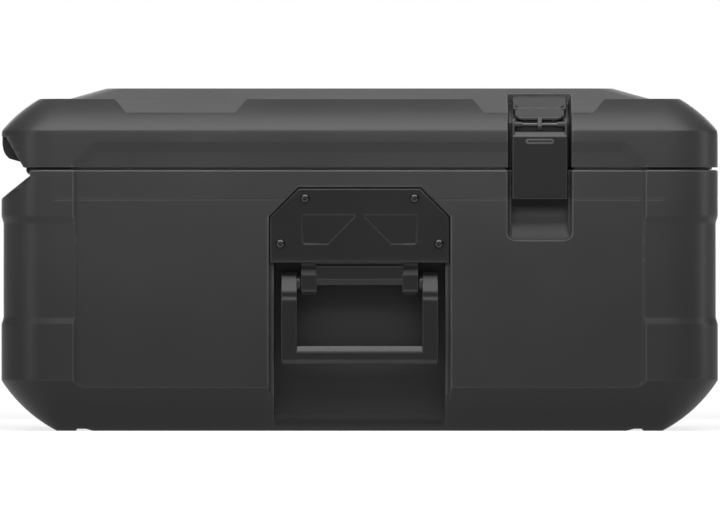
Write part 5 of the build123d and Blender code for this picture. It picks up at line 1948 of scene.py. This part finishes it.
    def _button(self) -> bpy.types.Object:
        """The rounded pad and its two stems."""
        maker = MeshMaker(f"button_pad_{self.tag}")
        outline = pill_outline(self.button_half, *self.button, self.button_corner)
        top = -self.cap_drop
        self._crown_prism(maker, outline, top - self.button_thickness, top, 1.1)
        across, inset, radius = self.stem
        foot, head = 258.8, float(self._crown(inset)) - self.cap_drop - self.button_thickness
        stem = [
            (0.0, foot), (radius - 0.2, foot), (radius, foot + 0.2), (radius, head - 1.0),
            (2.6, head - 1.0), (2.6, head + 1.0), (0.0, head + 1.0),
        ]
        y = self.side.value * (HALF_DEPTH - inset)
        for x in (self.middle - across, self.middle + across):
            maker.lathe(stem, placer(lambda a, b, c, x=x: (x + a, y + b, c)), steps=24)
        body, node = f"button_{self.tag}", f"latch_button_{self.tag}"
        return maker.finish(body, "hardware", HARDWARE, [node])

    def _springs(self) -> bpy.types.Object:
        """The two return springs.

        The wire's middle is (R cos t, R sin t, rising), and its skin is that plus
        r (cos f radial + sin f (tangent x radial)).
        """
        maker = MeshMaker(f"springs_{self.tag}")
        across, inset, _ = self.stem
        radius, wire, turns = self.coil
        foot = self.spring_foot
        top = float(self._crown(inset)) - self.cap_drop - self.button_thickness - 1.1
        turn = np.linspace(0.0, 2.0 * math.pi * turns, 30 * turns + 1)
        rise = (top - foot - 2.0 * wire) / turn[-1]
        flat = np.zeros(len(turn))
        radial = np.stack([np.cos(turn), np.sin(turn), flat], axis=-1)
        ahead = [-radius * radial[:, 1], radius * radial[:, 0], flat + rise]
        tangent = np.stack(ahead, axis=-1)
        tangent /= np.linalg.norm(tangent, axis=1, keepdims=True)
        skin = (np.arange(10) * 2.0 * math.pi / 10)[None, :, None]
        upward = np.cross(tangent, radial)[:, None]
        rings = np.cos(skin) * radial[:, None] + np.sin(skin) * upward
        middle = radius * radial
        middle[:, 2] = foot + wire + rise * turn
        y = self.side.value * (HALF_DEPTH - inset)
        for x in (self.middle - across, self.middle + across):
            points = middle[:, None] + wire * rings + np.array([x, y, 0.0])
            maker.grid(points, loop_columns=True)
            maker.cap(points[0], flip=True)
            maker.cap(points[-1])
        node = f"latch_springs_{self.tag}"
        made = maker.finish("lid", "spring_steel", SPRING_STEEL, [node])
        f"button_{self.tag}"
        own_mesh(made)
        return made


def dress(node: str, finish: Finish) -> None:
    """Gives one of the model's own solids a finish.

    Args:
        node: The solid.
        finish: The finish.
    """
    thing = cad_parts[node]
    if not thing.material_slots:
        thing.data.materials.append(None)
    for place in thing.material_slots:
        place.material = finish.material()


@dataclass(frozen=True)
class Lamp:
    """A soft area lamp, in metres.

    Attributes:
        place: Where it hangs.
        size: Its two sides.
        aim: What it points at.
        watts: Its power.
        mirrored: Whether glossy surfaces show it.
    """

    name: str
    place: Triple
    size: Pair
    aim: Triple
    watts: float
    mirrored: bool = True

    def hang(self) -> None:
        """Puts the lamp in the scene."""
        data = bpy.data.lights.new(self.name, "AREA")
        data.shape = "RECTANGLE"
        data.size, data.size_y = self.size
        data.energy = self.watts
        lamp = put_in_scene(self.name, data)
        lamp.visible_camera = False
        lamp.visible_glossy = self.mirrored
        lamp.location = self.place
        toward = Vector([a - b for a, b in zip(self.aim, self.place)])
        lamp.rotation_euler = toward.to_track_quat("-Z", "Y").to_euler()


LAMPS = (
    Lamp("overhead", (0.0, -0.55, 1.1), (1.9, 0.73), (0.0, -0.5, 0.2), 17.0),
    Lamp("brow", (0.0, -0.48, 0.33), (0.9, 0.08), (0.0, -0.26, 0.22), 1.1, mirrored=False),
    Lamp("front_card", (0.0, -1.0, 0.6), (1.4, 0.45), (0.0, -0.26, 0.5), 1.6),
    Lamp("back_card", (0.0, 1.3, 0.4), (1.4, 0.5), (0.0, 0.26, 0.15), 3.2),
    Lamp("left_strip", (-1.9, -1.1, 0.5), (0.32, 1.2), (0.0, 0.0, 0.15), 4.0),
    Lamp("right_strip", (2.0, 0.1, 0.5), (0.32, 1.2), (0.0, 0.0, 0.15), 4.0),
)


@dataclass
class Studio:
    """Camera, floor, pale world and soft lamps.

    Attributes:
        lens: Focal length in millimetres.
        sensor: Width of the sensor in millimetres.
        seen: Width of the picture at the near side, in metres.
        centre: Middle of the picture (x, z), in metres.
        clip: Nearest and furthest distance that is seen, in metres.
        room: How bright the room is where it is mirrored.
        fill: How bright the surroundings are as a light.
        floor_half: Half width of the floor, in metres.
    """

    lens: float = 1200.0
    sensor: float = 36.0
    seen: float = 0.6186
    centre: Pair = (0.0003, 0.1471)
    clip: Pair = (1.0, 90.0)
    room: float = 0.17
    fill: float = 0.11
    floor_half: float = 60.0

    def build(self) -> None:
        """Sets the stage."""
        self._camera()
        self._world()
        self._floor()
        for lamp in LAMPS:
            lamp.hang()

    def _camera(self) -> None:
        """Puts a long lens square to the near side."""
        data = bpy.data.cameras.new("camera")
        data.lens, data.sensor_width = self.lens, self.sensor
        data.clip_start, data.clip_end = self.clip
        away = self.seen * self.lens / self.sensor
        camera = put_in_scene("camera", data)
        camera.location = (self.centre[0], -HALF_DEPTH * MM - away, self.centre[1])
        camera.rotation_euler = (math.radians(90.0), 0.0, 0.0)
        bpy.context.scene.camera = camera

    @staticmethod
    def _seen(wire: NodeTree, mirror: Socket | float) -> Socket:
        """One for camera and transmission rays, the given value for glossy rays, else zero."""
        path = wire.add("ShaderNodeLightPath").outputs
        seen = wire.math("MAXIMUM", path["Is Camera Ray"], path["Is Transmission Ray"])
        return wire.math("MAXIMUM", seen, wire.math("MULTIPLY", path["Is Glossy Ray"], mirror))

    def _world(self) -> None:
        """White where it is seen. Mirrored, a white backdrop behind the case in a dim room."""
        world = bpy.data.worlds.new("studio")
        bpy.context.scene.world = world
        world.use_nodes = True
        wire = NodeTree(world.node_tree)
        background = world.node_tree.nodes["Background"]
        background.inputs["Color"].default_value = WHITE
        toward = wire.add("ShaderNodeSeparateXYZ")
        wire.link(wire.add("ShaderNodeTexCoord").outputs["Generated"], toward.inputs[0])
        behind = wire.ramp(toward.outputs["Y"], 0.65, 0.85, 0.0, 1.0)
        low = wire.ramp(toward.outputs["Z"], 0.45, 0.75, 1.0, 0.0)
        middle = wire.ramp(wire.math("ABSOLUTE", toward.outputs["X"]), 0.2, 0.5, 1.0, 0.0)
        backdrop = wire.math("MULTIPLY", wire.math("MULTIPLY", behind, low), middle)
        room = wire.math("MULTIPLY_ADD", backdrop, 1.0 - self.room, self.room)
        diffuse = wire.add("ShaderNodeLightPath").outputs["Is Diffuse Ray"]
        glow = wire.math("MULTIPLY", diffuse, self.fill)
        strength = wire.math("MAXIMUM", self._seen(wire, room), glow)
        wire.link(strength, background.inputs["Strength"])

    def _floor(self) -> None:
        """A wide pale floor that keeps the case's shadow and turns white further away."""
        half = self.floor_half
        corners = [(-half, -half, 0.0), (half, -half, 0.0), (half, half, 0.0), (-half, half, 0.0)]
        mesh = bpy.data.meshes.new("floor")
        mesh.from_pydata(corners, [], [(0, 1, 2, 3)])
        floor = put_in_scene("floor", mesh)
        paper = bpy.data.materials.new("floor_paper")
        paper.use_nodes = True
        wire = NodeTree(paper.node_tree)
        shader = paper.node_tree.nodes["Principled BSDF"].inputs
        shader["Base Color"].default_value = (0.3, 0.3, 0.3, 1.0)
        shader["Roughness"].default_value = 0.9
        shader["Specular IOR Level"].default_value = 0.0
        shader["Emission Color"].default_value = WHITE
        away = wire.add("ShaderNodeVectorMath", operation="LENGTH")
        wire.link(wire.add("ShaderNodeTexCoord").outputs["Object"], away.inputs[0])
        pale = wire.ramp(away.outputs["Value"], 0.7, 3.0, 0.8, 1.0)
        glow = wire.math("MULTIPLY", self._seen(wire, 0.6), pale)
        wire.link(glow, shader["Emission Strength"])
        mesh.materials.append(paper)


def main() -> None:
    """Builds the case and its studio."""
    bpy.context.scene.view_settings.view_transform = "Standard"
    pieces = [BaseShell().build(), LidShell().build()]
    for side in Side:
        dress(f"hinge_pin_{side.tag}", PIN_STEEL)
        pieces += Handle(side).build() + Latch(side).build()
    dress("lid_gasket", RUBBER)
    for piece in pieces:
        triangles = sum(len(face.vertices) - 2 for face in piece.data.polygons)
        log.info("%s: %d triangles", piece.name, triangles)
    Studio().build()


if __name__ == "__main__":
    main()
